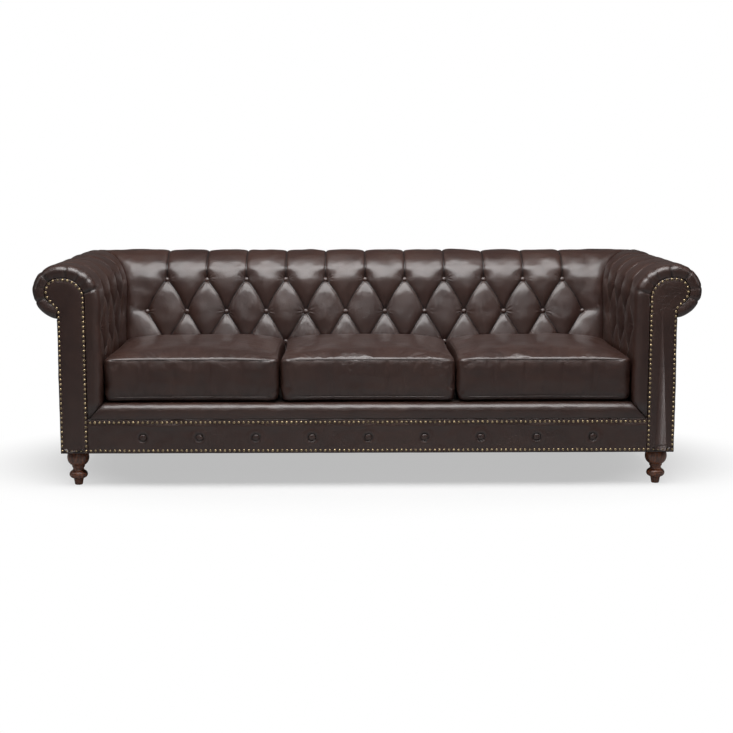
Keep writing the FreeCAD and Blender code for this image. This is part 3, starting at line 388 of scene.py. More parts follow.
def woven(name, light, dark, pitch, rough=0.9):
    """Plain weave: threads that pass over and under each other, at a pitch in metres."""
    shader = Shader(name)
    turns = 2 * math.pi / pitch
    x, y, z = shader.axes(shader.warped(60.0, 0.0012))
    flat = y + z
    warp = (x * turns).math("SINE")
    weft = (flat * turns).math("SINE")
    over = (x * (turns / 2)).math("SINE") * (flat * (turns / 2)).math("SINE")
    height = warp * 0.5 + weft * 0.5 + over * 0.7
    # Painted shade in the weave: threads darker where they dip under and lighter on their crests, plus random
    # tone
    shade = shader.between(height, -1.0, 0.9) * 0.8 + shader.noise(30.0, 3.0) * 0.3
    shader.set(Base_Color=shader.mixed(shade, dark, light), Roughness=rough,
               Normal=shader.bump(height, pitch * 0.30, 0.7))
    return shader.material


def felted(name, light, dark, fibre):
    """Cloth or foam with fibres or cells and no weave."""
    shader = Shader(name)
    fuzz = shader.noise(fibre, 5.0, rough=0.7)
    shade = shader.between(fuzz, 0.3, 0.7) * 0.7 + shader.noise(12.0, 2.0) * 0.3
    shader.set(Base_Color=shader.mixed(shade, dark, light), Roughness=0.92,
               Normal=shader.bump(fuzz, 0.0004, 0.5))
    return shader.material


MATERIALS = {}


def make_materials(sizes, colours):
    """Every material of the sofa, under the name of its slot."""
    MATERIALS.update({
        "leather": leather("Leather", sizes, colours),
        "buttoned": leather("Buttoned_leather", sizes, colours, buttoned=True),
        "hardwood": wood("Hardwood", (0.56, 0.38, 0.21), (0.40, 0.25, 0.13), 0.0, (1.0, 6.0, 6.0)),
        "plywood": wood("Plywood", (0.66, 0.49, 0.30), (0.50, 0.34, 0.19), 0.1, (6.0, 6.0, 1.0)),
        "walnut": wood("Walnut", tuple(colours.walnut), tuple(colours.walnut_dark), 1.0, (6.0, 6.0, 1.0)),
        "antique_brass": metal("Antique_brass", tuple(colours.brass), tuple(colours.patina), 0.26),
        "spring_steel": metal("Spring_steel", (0.42, 0.42, 0.44), (0.16, 0.15, 0.15), 0.35, 1.0),
        "zinc_steel": metal("Zinc_steel", (0.66, 0.67, 0.68), (0.36, 0.37, 0.38), 0.30),
        "webbing": woven("Webbing", (0.46, 0.35, 0.20), (0.20, 0.14, 0.07), 0.0030),
        "hessian": woven("Hessian", (0.50, 0.37, 0.21), (0.16, 0.11, 0.06), 0.0026),
        "black_cloth": felted("Black_cloth", (0.035, 0.035, 0.037), (0.012, 0.012, 0.013), 1100.0),
        "deck_cloth": woven("Deck_cloth", (0.050, 0.034, 0.028), (0.016, 0.010, 0.008), 0.0011),
        "foam": felted("Foam", (0.80, 0.74, 0.52), (0.58, 0.52, 0.34), 700.0),
        "zip_tape": woven("Zip_tape", (0.040, 0.026, 0.021), (0.012, 0.008, 0.006), 0.0007),
        "thread": felted("Thread", tuple(colours.thread), tuple(0.5 * part for part in colours.thread),
                         900.0),
    })


# Meshes from grids of points

def new_piece(name, points, faces, material, flat_from=None, attributes=None):
    """An object from points and faces. Faces from flat_from on are shaded flat."""
    mesh = bpy.data.meshes.new(name)
    mesh.from_pydata(points, [], faces)
    smooth = np.ones(len(mesh.polygons), bool)
    if flat_from is not None:
        smooth[flat_from:] = False
    mesh.polygons.foreach_set("use_smooth", smooth)
    for label, values in (attributes or {}).items():
        kind, field = ("FLOAT", "value") if values.ndim == 1 else ("FLOAT_VECTOR", "vector")
        mesh.attributes.new(label, kind, "POINT").data.foreach_set(field, values.astype(np.float32).ravel())
    mesh.materials.append(MATERIALS[material])
    piece = bpy.data.objects.new(name, mesh)
    bpy.context.scene.collection.objects.link(piece)
    return piece


def outward(points, faces):
    """The faces of a closed shell, turned round if they point inwards."""
    points = np.asarray(points)
    volume = 0.0
    for face in faces:
        corner = points[face[0]]
        fan = points[list(face[1:])]
        volume += float(np.einsum("j,ij->", corner, np.cross(fan[:-1], fan[1:])))
    return faces if volume >= 0 else [face[::-1] for face in faces]


def ring_faces(rings, count, start=0, closed=False):
    """Quads between rings of points, from a first point on, and back to the first ring if closed."""
    faces = []
    for ring in range(rings if closed else rings - 1):
        low, high = start + ring * count, start + (ring + 1) % rings * count
        for number in range(count):
            after = (number + 1) % count
            faces.append([low + number, low + after, high + after, high + number])
    return faces


def capped_rings(name, rings, material):
    """A closed piece through rings of points, with one face over each end."""
    count = len(rings[0])
    last = (len(rings) - 1) * count
    faces = ring_faces(len(rings), count) + [list(range(last, last + count)), list(range(count))[::-1]]
    points = np.concatenate(rings)
    return new_piece(name, points.tolist(), outward(points, faces), material)


def vectors(x, y, z):
    """Points from their coordinates, which may be arrays or single numbers."""
    return np.stack(np.broadcast_arrays(x, y, z), -1)


def spread(across, along):
    """A grid over two rows of places, and how far each of its points is from its edge."""
    x, y = np.meshgrid(across, along, indexing="ij")
    return x, y, np.minimum.reduce((x - across[0], across[-1] - x, y - along[0], along[-1] - y))


def closed_skin(name, grid, height, back, material, attributes=None):
    """A solid with a fine outer grid, split along its valleys, and a plain back of two points a row."""
    columns, rows = grid.shape[:2]
    index = np.arange(columns * rows).reshape(columns, rows)
    a, b, c, d = index[:-1, :-1], index[1:, :-1], index[1:, 1:], index[:-1, 1:]
    valley = (height.flat[a] + height.flat[c] <= height.flat[b] + height.flat[d])[..., None]
    first = np.where(valley, np.stack((a, b, c), -1), np.stack((a, b, d), -1)).reshape(-1, 3)
    second = np.where(valley, np.stack((a, c, d), -1), np.stack((b, c, d), -1)).reshape(-1, 3)
    faces = np.concatenate((first, second)).tolist()
    skin = len(faces)
    start = columns * rows + 2 * np.arange(rows)
    near, far = index[0], index[-1]
    for r in range(rows - 1):
        faces.append([near[r], near[r + 1], start[r + 1], start[r]])
        faces.append([far[r + 1], far[r], start[r] + 1, start[r + 1] + 1])
        faces.append([start[r], start[r + 1], start[r + 1] + 1, start[r] + 1])
    faces.append(list(index[::-1, 0]) + [start[0], start[0] + 1])
    faces.append(list(index[:, -1]) + [start[-1] + 1, start[-1]])
    faces = [[int(corner) for corner in face] for face in faces]
    points = np.concatenate((grid.reshape(-1, 3), back.reshape(-1, 3)))
    filler = len(points) - columns * rows
    padded = {label: np.concatenate((values.reshape(columns * rows, *values.shape[2:]),
                                     np.zeros((filler, *values.shape[2:]))))
              for label, values in (attributes or {}).items()}
    return new_piece(name, points.tolist(), outward(points, faces), material, skin, padded)


def ripple(points, seed, size, waves=14):
    """Soft random waves of about a size, between roughly -2 and 2."""
    random = np.random.default_rng(seed)
    ways = random.normal(size=(waves, 3))
    ways /= np.linalg.norm(ways, axis=1, keepdims=True)
    ways *= (2 * math.pi / (size * random.uniform(0.6, 1.7, waves)))[:, None]
    return np.sin(points @ ways.T + random.uniform(0, 2 * math.pi, waves)).sum(-1) / math.sqrt(waves)


def swell(share, power):
    """From 0 at a pleat to 1 in the middle of a pillow."""
    return (1 - (1 - np.clip(share, 0.0, 1.0)) ** 2) ** power


def bell(off, width):
    """1 where off is 0, and next to nothing beyond two widths."""
    return np.exp(-(off / width) ** 2)


def eased(share):
    """A smooth step from 0 to 1."""
    share = np.clip(share, 0.0, 1.0)
    return share * share * (3 - 2 * share)


# Section of arm and back

class Section:
    """The line that an arm or the back follows from the seat, over its roll, to the outside."""

    STEPS = 90

    def __init__(self, sizes, roll, outer, scroll_radius, lean):
        scroll, radius = roll - sizes.roll_crown, sizes.roll_radius
        arc_up = TOP - scroll_radius
        tangent = arc_up + scroll_radius * math.sin(lean)
        rise = (tangent - sizes.break_height) * math.tan(lean)
        self.face = scroll - scroll_radius * math.cos(lean) - rise
        self.outer, self.roll, self.roll_up = outer, roll, TOP - radius
        share = np.linspace(0, 1, self.STEPS)
        bend = lean + (math.pi / 2 - lean) * share
        wrap = math.pi / 2 + (-math.acos((outer - roll) / radius) - math.pi / 2) * share
        straight = share * 0 + math.pi
        out = [self.face + share * 0, self.face + rise * share,
               scroll - scroll_radius * np.cos(bend), scroll + sizes.roll_crown * share,
               roll + radius * np.cos(wrap)]
        up = [LIP_LOW + (sizes.break_height - LIP_LOW) * share,
              sizes.break_height + (tangent - sizes.break_height) * share,
              arc_up + scroll_radius * np.sin(bend), share * 0 + TOP, self.roll_up + radius * np.sin(wrap)]
        turn = [straight, straight - lean, math.pi - bend, straight / 2, wrap]
        self.out, self.up, self.turn = (np.concatenate([part[1:] for part in parts])
                                        for parts in (out, up, turn))
        steps = np.hypot(np.diff(self.out), np.diff(self.up))
        self.length = np.concatenate(([0.0], np.cumsum(steps)))
        self.crown = float(self.length[3 * (self.STEPS - 1) - 1])

    def at(self, length):
        """Point and outward direction at a length along the line."""
        turn = np.interp(length, self.length, self.turn)
        return (np.interp(length, self.length, self.out), np.interp(length, self.length, self.up),
                np.cos(turn), np.sin(turn))

    def length_at(self, up):
        """Length where the seat side passes a height."""
        seat_side = self.length <= self.crown
        return np.interp(up, self.up[seat_side], self.length[seat_side])

    def same_on(self, other, length):
        """The length on another section at the same height and on the same side of the roll."""
        return np.where(length <= self.crown, other.length_at(self.at(length)[1]),
                        other.crown + length - self.crown)

    def frame_side(self, sizes, length):
        """The points behind the foam."""
        out, up, n_out, n_up = self.at(length)
        high = self.length_at(sizes.row_high)
        deep = np.interp(length, (high, self.crown), (sizes.face_foam, sizes.roll_foam))
        base_out, base_up = out - deep * n_out, up - deep * n_up
        base_out[-1], base_up[-1] = self.outer, up[-1] + sizes.neck_rise
        return base_out, base_up


def arm_section(sizes):
    roll = HALF_WIDTH - sizes.roll_radius
    return Section(sizes, roll, ARM_OUTER, roll - sizes.roll_crown - (ARM_OUTER - sizes.arm_width), 0.0)


def back_section(sizes):
    return Section(sizes, REAR - sizes.roll_radius, BACK_OUTER, sizes.back_scroll, sizes.back_lean)


# Buttoned leather

# First and last button of the high, middle and low row, counted in pitches from the middle of the back
# and from the third button of an arm
BACK_ROWS = ((-5, -5.5, -5), (5, 5.5, 5))
ARM_ROWS = ((-2, -2.5, -2), (1, 0.5, 0))
ARM_PLEATS = 1.6


def back_place(sizes):
    """The way from buttons counted along the back, out and up, to points."""
    return lambda u, out, up: vectors(u * sizes.button_pitch, out, up)


def arm_zero(sizes):
    """Place along an arm from which its buttons are counted."""
    return FRONT + sizes.first_arm_button - ARM_ROWS[0][1] * sizes.button_pitch


def arm_place(sizes, side):
    """The same for an arm."""
    return lambda u, out, up: vectors(side * out, u * sizes.button_pitch + arm_zero(sizes), up)


class Tufting:
    """Shape of buttoned leather: 0 at the buttons and 1 on the pillows between the pleats.

    u counts buttons along a row and w counts rows downwards from the highest one. Buttons of the
    outer rows stand at whole u, and those of the middle row half way between. Pleats run where
    w + 2u or w - 2u is even."""

    CRISP, SOFT = 0.40, 0.56
    PLEAT_FOOT = 0.50
    UPRIGHT_BROAD, UPRIGHT_NARROW = 0.10, 0.20
    END_PLEAT = 0.13

    def __init__(self, first, last, deep=1.0):
        self.first, self.last, self.deep = first, last, deep

    def beyond(self, u, w):
        """How far a place lies outside the last buttons of its row, as a share of half a pitch."""
        return 2 * np.maximum(u - np.interp(w, (0, 1, 2), self.last), np.interp(w, (0, 1, 2), self.first) - u)

    def field(self, u, w):
        """Height between the highest and the lowest row."""
        shares, soft = [], []
        for line in (w + 2 * u, w - 2 * u):
            rest = line - 2 * np.round(line / 2)
            shares.append(np.abs(rest))
            soft.append(np.where(rest >= 0, self.CRISP, self.SOFT))
        swells = [swell(share, power) for share, power in zip(shares, soft)]
        feet = [swell(share, 0.8) for share in shares]
        inside = swells[0] * swells[1] + self.PLEAT_FOOT * ((1 - swells[0]) * feet[1]
                                                            + (1 - swells[1]) * feet[0])
        beyond = self.beyond(u, w)
        rise = swell(beyond, self.SOFT)
        along = 1 - np.abs(2 * (w - np.clip(np.floor(w), 0, 1)) - 1)
        drift = 1.0 - 0.12 * np.clip(beyond, 0, 3)
        level = 1 - self.END_PLEAT * (1 - swell(np.abs(w - drift) / 0.38, self.CRISP))
        protrudes = self.last[1] > self.last[0]
        end = np.where((u < 0) | protrudes, level, 1.0)
        outside = self.PLEAT_FOOT * swell(along, 0.8) * (1 - rise) + rise * end
        return np.where(beyond > 0, outside, inside)

    def upright(self, u, row):
        """Height across the upright pleats above or below the rows."""
        nearest = np.clip(np.round(u), self.first[row], self.last[row])
        off = np.abs(u - nearest) * 2
        return 1 - self.deep * (self.UPRIGHT_BROAD * (1 - swell(off, 0.9))
                                + self.UPRIGHT_NARROW * (1 - swell(off * 3.2, self.CRISP)))

    def height(self, u, w):
        inner = self.field(u, np.clip(w, 0, 2))
        above = eased(-w / 0.40)
        below = eased((w - 2) / 0.5)
        height = inner + (self.upright(u, 0) - inner) * above
        return height + (self.upright(u, 2) - height) * below


def buttoned_rows(section, sizes):
    """Length along the section and lattice row of each line of the grid, from seat to outside."""
    marks = [section.length_at(up) for up in (sizes.row_high, sizes.row_middle, sizes.row_low)]
    gap = sizes.row_high - sizes.row_middle
    low = np.linspace(section.length_at(LIP_TOP), marks[2], sizes.fine - 4, endpoint=False)
    lengths, rows = [low], [2 + (marks[2] - low) / gap]
    even = np.linspace(0, 1, 200)
    heights = (sizes.row_high, sizes.row_middle, sizes.row_low)
    for row, bow in ((1, 0.03), (0, 0.095)):
        share = np.linspace(1, 0, sizes.fine, endpoint=False)
        down = np.interp(share, even + bow * np.sin(math.pi * even), even)
        lengths.append(section.length_at(heights[row] + (heights[row + 1] - heights[row]) * down))
        rows.append(row + share)
    over = np.linspace(marks[0], section.length[-1], 4 * sizes.fine + 1)
    lengths.append(over)
    rows.append((marks[0] - over) / gap)
    return np.concatenate(lengths), np.concatenate(rows)


def tuft_grid(sizes, section, lengths, rows, along, tufting, place, seed, ends):
    """Points, heights and lattice of buttoned leather. along holds the place of each grid point
    along the row, and ends how far each point is from the seams at its ends."""
    out, up, n_out, n_up = (np.broadcast_to(part, along.shape) for part in section.at(lengths))
    u = along
    w = np.broadcast_to(rows, along.shape)
    height = tufting.height(u, w)
    centre = place(u, out, up)
    flesh = eased(height)
    drop = (height - 1) * sizes.pillow + 0.0014 * ripple(centre, seed, 0.16) * flesh
    drop += 0.0007 * ripple(centre, seed + 1, 0.05) * flesh
    drop -= sizes.seam_sink * (1 - swell(ends / 0.032, 0.55))
    points = place(u, out + drop * n_out, up + drop * n_up)
    # Painted shade: strongest where the leather sinks into the pleats and round the buttons
    painted_shade = np.clip(1 - height * 2.2, 0, 1) * 0.8 + 0.2 * (1 - height)
    inside = tufting.beyond(u, w) < 0.06
    return points, drop, {"painted_shade": painted_shade, "lattice": vectors(u, w, inside)}


def back_upholstery(sizes):
    """The buttoned back, from arm to arm and over its roll."""
    section, arm = back_section(sizes), arm_section(sizes)
    lengths, rows = buttoned_rows(section, sizes)
    pitch, fine = sizes.button_pitch, sizes.fine
    last = BACK_ROWS[1][1]
    u_middle = np.linspace(-last, last, int(2 * last * 2 * fine) + 1)
    on_arm = section.same_on(arm, lengths)
    corner, _, arm_out_way, arm_up_way = arm.at(on_arm)
    share = np.linspace(0, 1, fine + 3)[1:]
    end = last + (corner[None] / pitch - last) * share[:, None]
    u = np.concatenate((-end[::-1], np.repeat(u_middle[:, None], len(rows), 1), end))
    ends = corner[None] - np.abs(u) * pitch
    points, drop, attributes = tuft_grid(sizes, section, lengths, rows, u, Tufting(*BACK_ROWS),
                                         back_place(sizes), 11, ends)
    out, up, n_out, n_up = section.at(lengths)
    base_out, base_up = section.frame_side(sizes, lengths)
    arm_base, arm_base_up = arm.frame_side(sizes, on_arm)
    back = np.empty((len(rows), 2, 3))
    for column, side in ((0, -1), (-1, 1)):
        inward = vectors(side * arm_out_way, n_out, (n_up + arm_up_way) / 2)
        points[column] = vectors(side * corner, out, up) - sizes.seam_sink * inward
        back[:, column] = vectors(side * arm_base, base_out, (base_up + arm_base_up) / 2)
    return closed_skin("back_upholstery", points, drop, back, "buttoned", attributes)


# Turn round the arm's centre, in degrees from outwards, of the gathers at its front, and their depth
FRONT_GATHERS = ((-4, 0.8), (53, 1.0), (92, 1.0), (121, 0.9), (161, 1.0), (24, 0.35), (139, 0.4))
RING_STEPS = 18


def front_ring(sizes):
    """Share of the turn from the arm's side to its front, share of the foam's depth, and place
    behind the front, of each column round the arm's front edge, from the facing backwards."""
    turn = np.linspace(math.pi / 2, 0, RING_STEPS)
    deep = 0.50 * (1 - np.cos(turn))
    behind = sizes.front_round * (1 - np.sin(turn) ** 0.9)
    flat = np.linspace(1.0, 0.5, 9, endpoint=False)
    sunk = 0.0034 * ((flat - 0.5) * 2) ** 2
    return (np.concatenate((flat * 0 + math.pi / 2, turn)), np.concatenate((flat, deep)),
            np.concatenate((sunk, behind)))


def arm_upholstery(sizes, name, side):
    """A buttoned arm, from its gathered front to the seam with the back."""
    section, partner = arm_section(sizes), back_section(sizes)
    lengths, rows = buttoned_rows(section, sizes)
    pitch, fine = sizes.button_pitch, sizes.fine
    zero = arm_zero(sizes)
    turn, deep, behind = front_ring(sizes)
    ring_u = (FRONT + behind - zero) / pitch
    first, last = ARM_ROWS[0][1], ARM_ROWS[1][0]
    lead = np.linspace(ring_u[-1], first, 16)[1:-1]
    middle = np.linspace(first, last, int((last - first) * 2 * fine) + 1)
    on_back = section.same_on(partner, lengths)
    corner, _, back_out_way, back_up_way = partner.at(on_back)
    share = np.linspace(0, 1, fine)[1:]
    end = last + ((corner[None] - zero) / pitch - last) * share[:, None]
    flat = np.concatenate((ring_u, lead, middle))
    u = np.concatenate((np.repeat(flat[:, None], len(rows), 1), end))
    ends = corner[None] - (u * pitch + zero)
    points, drop, attributes = tuft_grid(sizes, section, lengths, rows, u,
                                         Tufting(*ARM_ROWS, deep=ARM_PLEATS),
                                         arm_place(sizes, side), 30 + side, ends)
    out, up, n_out, n_up = section.at(lengths)
    base_out, base_up = section.frame_side(sizes, lengths)
    round_up = section.roll_up - 0.029
    angle = np.degrees(np.arctan2(up - round_up, out - (section.roll - sizes.roll_crown)))
    wander = side * 2.5 * np.sin(np.arange(len(FRONT_GATHERS)) * 2.1)
    gather = np.zeros(len(rows))
    for (mark, depth), shift in zip(FRONT_GATHERS, wander):
        off = np.radians(np.abs((angle - mark - shift + 180) % 360 - 180)) * sizes.gather_radius
        gather = np.maximum(gather, depth * (1 - swell(off / sizes.gather_width, 0.5)))
    columns = len(ring_u) + len(lead) + 8
    for column in range(columns):
        count = len(ring_u)
        way = turn[column] if column < count else 0.0
        into = deep[column] if column < count else 0.0
        fade = 1.0 if column < count - 6 else max(0.0, 1 - (column - count + 6) / 20) ** 1.5
        base = vectors(side * base_out, points[column][:, 1], base_up)
        sink = sizes.gather_depth * fade * gather
        direction = vectors(side * n_out * math.cos(way), -math.sin(way), n_up * math.cos(way))
        points[column] += (base - points[column]) * into - direction * sink[:, None]
        points[column][0, 2] -= into * (LIP_TOP - LIP_LOW)
        drop[column] -= sink
        # Painted shade darkening the gathers at the arm's front
        attributes["painted_shade"][column] = np.clip(attributes["painted_shade"][column] + fade * gather, 0, 1)
    inward = vectors(side * n_out, back_out_way, (n_up + back_up_way) / 2)
    points[-1] = vectors(side * out, corner, up) - sizes.seam_sink * inward
    back_base, back_base_up = partner.frame_side(sizes, on_back)
    back = np.empty((len(rows), 2, 3))
    back[:, 0] = vectors(side * base_out, FRONT + 0.007, base_up)
    back[0, 0, 2] = LIP_LOW
    back[:, 1] = vectors(side * base_out, back_base, (base_up + back_base_up) / 2)
    return closed_skin(name, points, drop, back, "buttoned", attributes)


# Lip, rail, facings and outside panels

def lip_upholstery(sizes):
    """The padded lip along the front of the seat, mitred into the arms."""
    face = ARM_OUTER - sizes.arm_width
    turn = np.linspace(0, 1, 9)[:-1]
    bend = np.linspace(0, math.pi / 2, 16)
    middle = LIP_LOW + 0.46 * (LIP_TOP - LIP_LOW)
    up = np.concatenate((LIP_LOW + (middle - LIP_LOW) * turn,
                         middle + (LIP_TOP - middle) * np.sin(bend) ** 0.85))
    deep = RAIL_REAR - PANEL_FRONT
    along = np.concatenate((turn * 0, deep * (1 - np.cos(bend) ** 0.85)))
    bulge = 0.0032 * np.sin(np.clip((up - LIP_LOW) / (LIP_TOP - LIP_LOW), 0, 1) * math.pi) ** 0.6
    reach = face - 0.0003 + (LIP_TOP - up) * sizes.face_foam / (LIP_TOP - LIP_LOW)
    across = np.linspace(-1, 1, 361)[:, None] * reach[None]
    flat = vectors(across, PANEL_FRONT + along - bulge, up)
    fade = np.clip((reach[None] - np.abs(across)) / 0.02, 0, 1)
    soft = np.sin(np.linspace(0, math.pi, len(up))) ** 0.5
    push = (0.0009 * ripple(flat * (1, 0.2, 0.2), 5, 0.12) + 0.0005 * ripple(flat, 6, 0.045)) * soft
    push -= 0.004 * (1 - swell(fade, 0.5))
    flat[..., 1] -= push
    flat[..., 2] += push * 0.4
    back = np.stack([vectors(side * (face + sizes.face_foam),
                             PANEL_FRONT + 0.006 + along * (1 - 0.006 / deep), LIP_LOW)
                     for side in (-1, 1)], 1)
    # Painted shade darkening the lip towards its mitred ends by the arms
    return closed_skin("lip_upholstery", flat, push, back, "leather",
                       {"painted_shade": np.clip(1 - fade, 0, 1) * 0.6})


def panel(name, across, up, place, thickness, push, painted_shade=None):
    """A padded leather panel: a grid over across and up, pushed out from its plane, with rolled edges."""
    x, z, edge = spread(across, up)
    out = push(x, z) - thickness * 0.7 * (1 - swell(edge / 0.004, 0.6))
    grid = place(x, z, out)
    back = np.stack([place(end, up, -thickness) for end in across[[0, -1]]], 1)
    # The optional mask is painted shade for the leather's colour
    attributes = {"painted_shade": painted_shade(x, z)} if painted_shade is not None else None
    return closed_skin(name, grid, out, back, "leather", attributes)


def edged(low, high, step):
    """Places from low to high at about a step, with closer ones at both ends."""
    close = np.array((0.0, 0.0006, 0.0014, 0.0025, 0.004))
    count = max(int((high - low - 0.008) / step), 2)
    inner = np.linspace(low + 0.004, high - 0.004, count + 1)[1:-1]
    return np.concatenate((low + close, inner, high - close[::-1]))


def nail_points():
    """The tip of each nail head that the frame holds."""
    mesh = frame["nodes"]["trim_nails"].data
    points = np.empty(len(mesh.vertices) * 3, np.float32)
    mesh.vertices.foreach_get("co", points)
    points = points.reshape(-1, 3)
    tips = points[points[:, 1] < points[:, 1].min() + 2e-5]
    return np.unique(np.round(tips, 4), axis=0).astype(float)


def nearest(x, z, marks, limit):
    """Distance in the front plane to the nearest mark, up to a limit."""
    found = np.full(x.shape, limit)
    for mark in marks:
        close = (np.abs(x - mark[0]) < limit) & (np.abs(z - mark[1]) < limit)
        found[close] = np.minimum(found[close], np.hypot(x[close] - mark[0], z[close] - mark[1]))
    return found


def rail_button_places():
    """Middle of each button on the rail, from the frame."""
    mesh = frame["nodes"]["rail_buttons"].data
    points = np.array([vertex.co for vertex in mesh.vertices])
    tips = points[points[:, 1] < points[:, 1].min() + 1e-4]
    return np.unique(np.round(tips, 3), axis=0)[:, (0, 2)]


# How far the leather is drawn in round a button and round a nail
BUTTON_REACH, NAIL_REACH = 0.045, 0.016


def rail_leather(sizes):
    """Leather on the front rail: puckers under the upper nails, and a dimple at each button with painted
    shade round its edge.
    """
    buttons = rail_button_places()
    nails = nail_points()[:, (0, 2)]
    high_row = nails[:, 1][nails[:, 1] < RAIL_TOP].max()

    def push(x, z):
        flat = vectors(x, 0.0, z * 0.35)
        swag = ripple(flat, 21, 0.17) + 0.6 * ripple(flat, 22, 0.07)
        out = 0.0016 * bell(high_row - 0.014 - z, 0.010) * (0.9 + 0.7 * swag)
        out += 0.0006 * ripple(vectors(x, 0.0, z), 23, 0.06)
        off = nearest(x, z, buttons, BUTTON_REACH)
        out += 0.0016 * bell(off - 0.021, 0.009)
        out -= sizes.rail_dimple * bell(np.maximum(off - 0.009, 0), 0.0055)
        return out - 0.0011 * bell(nearest(x, z, nails, NAIL_REACH), 0.0055)

    # Painted shade in a ring round the edge of each button's dimple
    def painted_shade(x, z):
        return 0.8 * bell(nearest(x, z, buttons, BUTTON_REACH) - 0.012, 0.004)

    def place(x, z, out):
        return vectors(x, PANEL_FRONT - out, z)

    return panel("rail_leather", edged(-PANEL_REACH, PANEL_REACH, 0.0036), edged(UNDERSIDE, RAIL_TOP, 0.0034),
                 place, 0.004, push, painted_shade)


def scroll_outline(sizes, step):
    """Half-section outline of an arm's facing as places out and up, from its inner foot round."""
    margin, gap = 0.002, 0.001
    inner = ARM_OUTER - sizes.arm_width + sizes.face_foam + margin
    outer = ARM_OUTER - gap
    roll, roll_up = HALF_WIDTH - sizes.roll_radius, TOP - sizes.roll_radius
    scroll = roll - sizes.roll_crown
    arm_radius = scroll - (ARM_OUTER - sizes.arm_width)
    arc_up = TOP - arm_radius
    top = TOP - sizes.roll_foam - margin
    radius = sizes.roll_radius - sizes.roll_foam - margin
    wide = scroll - inner
    tall = top - arc_up
    end = -math.acos((ARM_OUTER - roll) / sizes.roll_radius)
    neck_up = roll_up + sizes.roll_radius * math.sin(end) + sizes.neck_rise + margin
    rising = np.linspace(0, math.pi / 2, int(0.12 / step))
    turning = np.radians(np.linspace(90, -50, int(0.115 / step)))
    legs = [
        straight_run((inner, UNDERSIDE), (inner, arc_up), step),
        np.stack((scroll - wide * np.cos(rising), arc_up + tall * np.sin(rising)), -1),
        np.stack((roll + radius * np.cos(turning), roll_up + radius * np.sin(turning)), -1),
    ]
    legs.append(straight_run(legs[-1][-1], (outer, neck_up), step))
    legs.append(straight_run((outer, neck_up), (outer, UNDERSIDE), step))
    legs.append(straight_run((outer, UNDERSIDE), (inner, UNDERSIDE), step))
    points = np.concatenate(legs)
    apart = np.hypot(*(points - np.roll(points, 1, 0)).T) > step * 0.3
    return points[apart]


def straight_run(start, end, step):
    """Points on a straight line at about a step."""
    start, end = np.array(start), np.array(end)
    count = max(int(np.hypot(*(end - start)) / step), 1)
    return start + (end - start) * np.linspace(0, 1, count + 1)[:, None]


def inset_loop(loop, distance):
    """A closed loop moved inwards: each point goes in along the mean of its two sides' normals."""
    before, after = loop - np.roll(loop, 1, 0), np.roll(loop, -1, 0) - loop
    normals = []
    for side in (before, after):
        side = side / np.maximum(np.hypot(*side.T), 1e-9)[:, None]
        normals.append(np.stack((side[:, 1], -side[:, 0]), -1))
    mean = normals[0] + normals[1]
    scale = np.maximum((mean * normals[0]).sum(1), 0.5)
    return loop + mean * (distance / scale)[:, None]


FACING_RINGS = ((0.0, -0.0040), (0.0, -0.0022), (0.0005, -0.0010), (0.0016, -0.0002), (0.0032, 0.0004),
                (0.0050, 0.0005), (0.0068, 0.0006), (0.0090, 0.0009), (0.0125, 0.0014), (0.0180, 0.0019),
                (0.0260, 0.0022))


def facing_leather(sizes, name, side):
    """The padded leather facing on an arm's front, nipped in at each nail."""
    loop = scroll_outline(sizes, 0.0032)
    nails = nail_points()[:, (0, 2)]
    rings = []
    for inset, rise in FACING_RINGS:
        line = inset_loop(loop, inset)
        off = nearest(side * line[:, 0], line[:, 1], nails, NAIL_REACH)
        out = rise - 0.0010 * bell(off, 0.0050)
        rings.append(vectors(side * line[:, 0], PANEL_FRONT - out, line[:, 1]))
    return capped_rings(name, rings, "leather")


def outside_panels():
    """Large plain panels outside the arms and behind the back."""
    made = {}
    for name, side in SIDES:
        low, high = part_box(name + "_outer_arm_panel")

        def push(x, z, seed=50 + side):
            flat = vectors(0.0, x, z)
            return 0.0007 + 0.0009 * ripple(flat, seed, 0.22) + 0.0003 * ripple(flat, seed + 5, 0.06)

        def place(x, z, out, side=side):
            return vectors(side * (ARM_OUTER + out), x, z)

        made[name + "_outer_arm_panel"] = panel(name + "_outer_arm_leather", edged(low.y, high.y, 0.008),
                                                edged(low.z, high.z, 0.008), place, high.x - low.x, push)
    low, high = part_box("outer_back_panel")

    def push_back(x, z):
        flat = vectors(x, 0.0, z)
        return 0.0008 + 0.0010 * ripple(flat, 61, 0.28) + 0.0004 * ripple(flat, 62, 0.07)

    def place_back(x, z, out):
        return vectors(x, BACK_OUTER + out, z)

    made["outer_back_panel"] = panel("outer_back_leather", edged(low.x, high.x, 0.009),
                                     edged(low.z, high.z, 0.009), place_back, high.y - low.y, push_back)
    return made


# Loose seat cushions

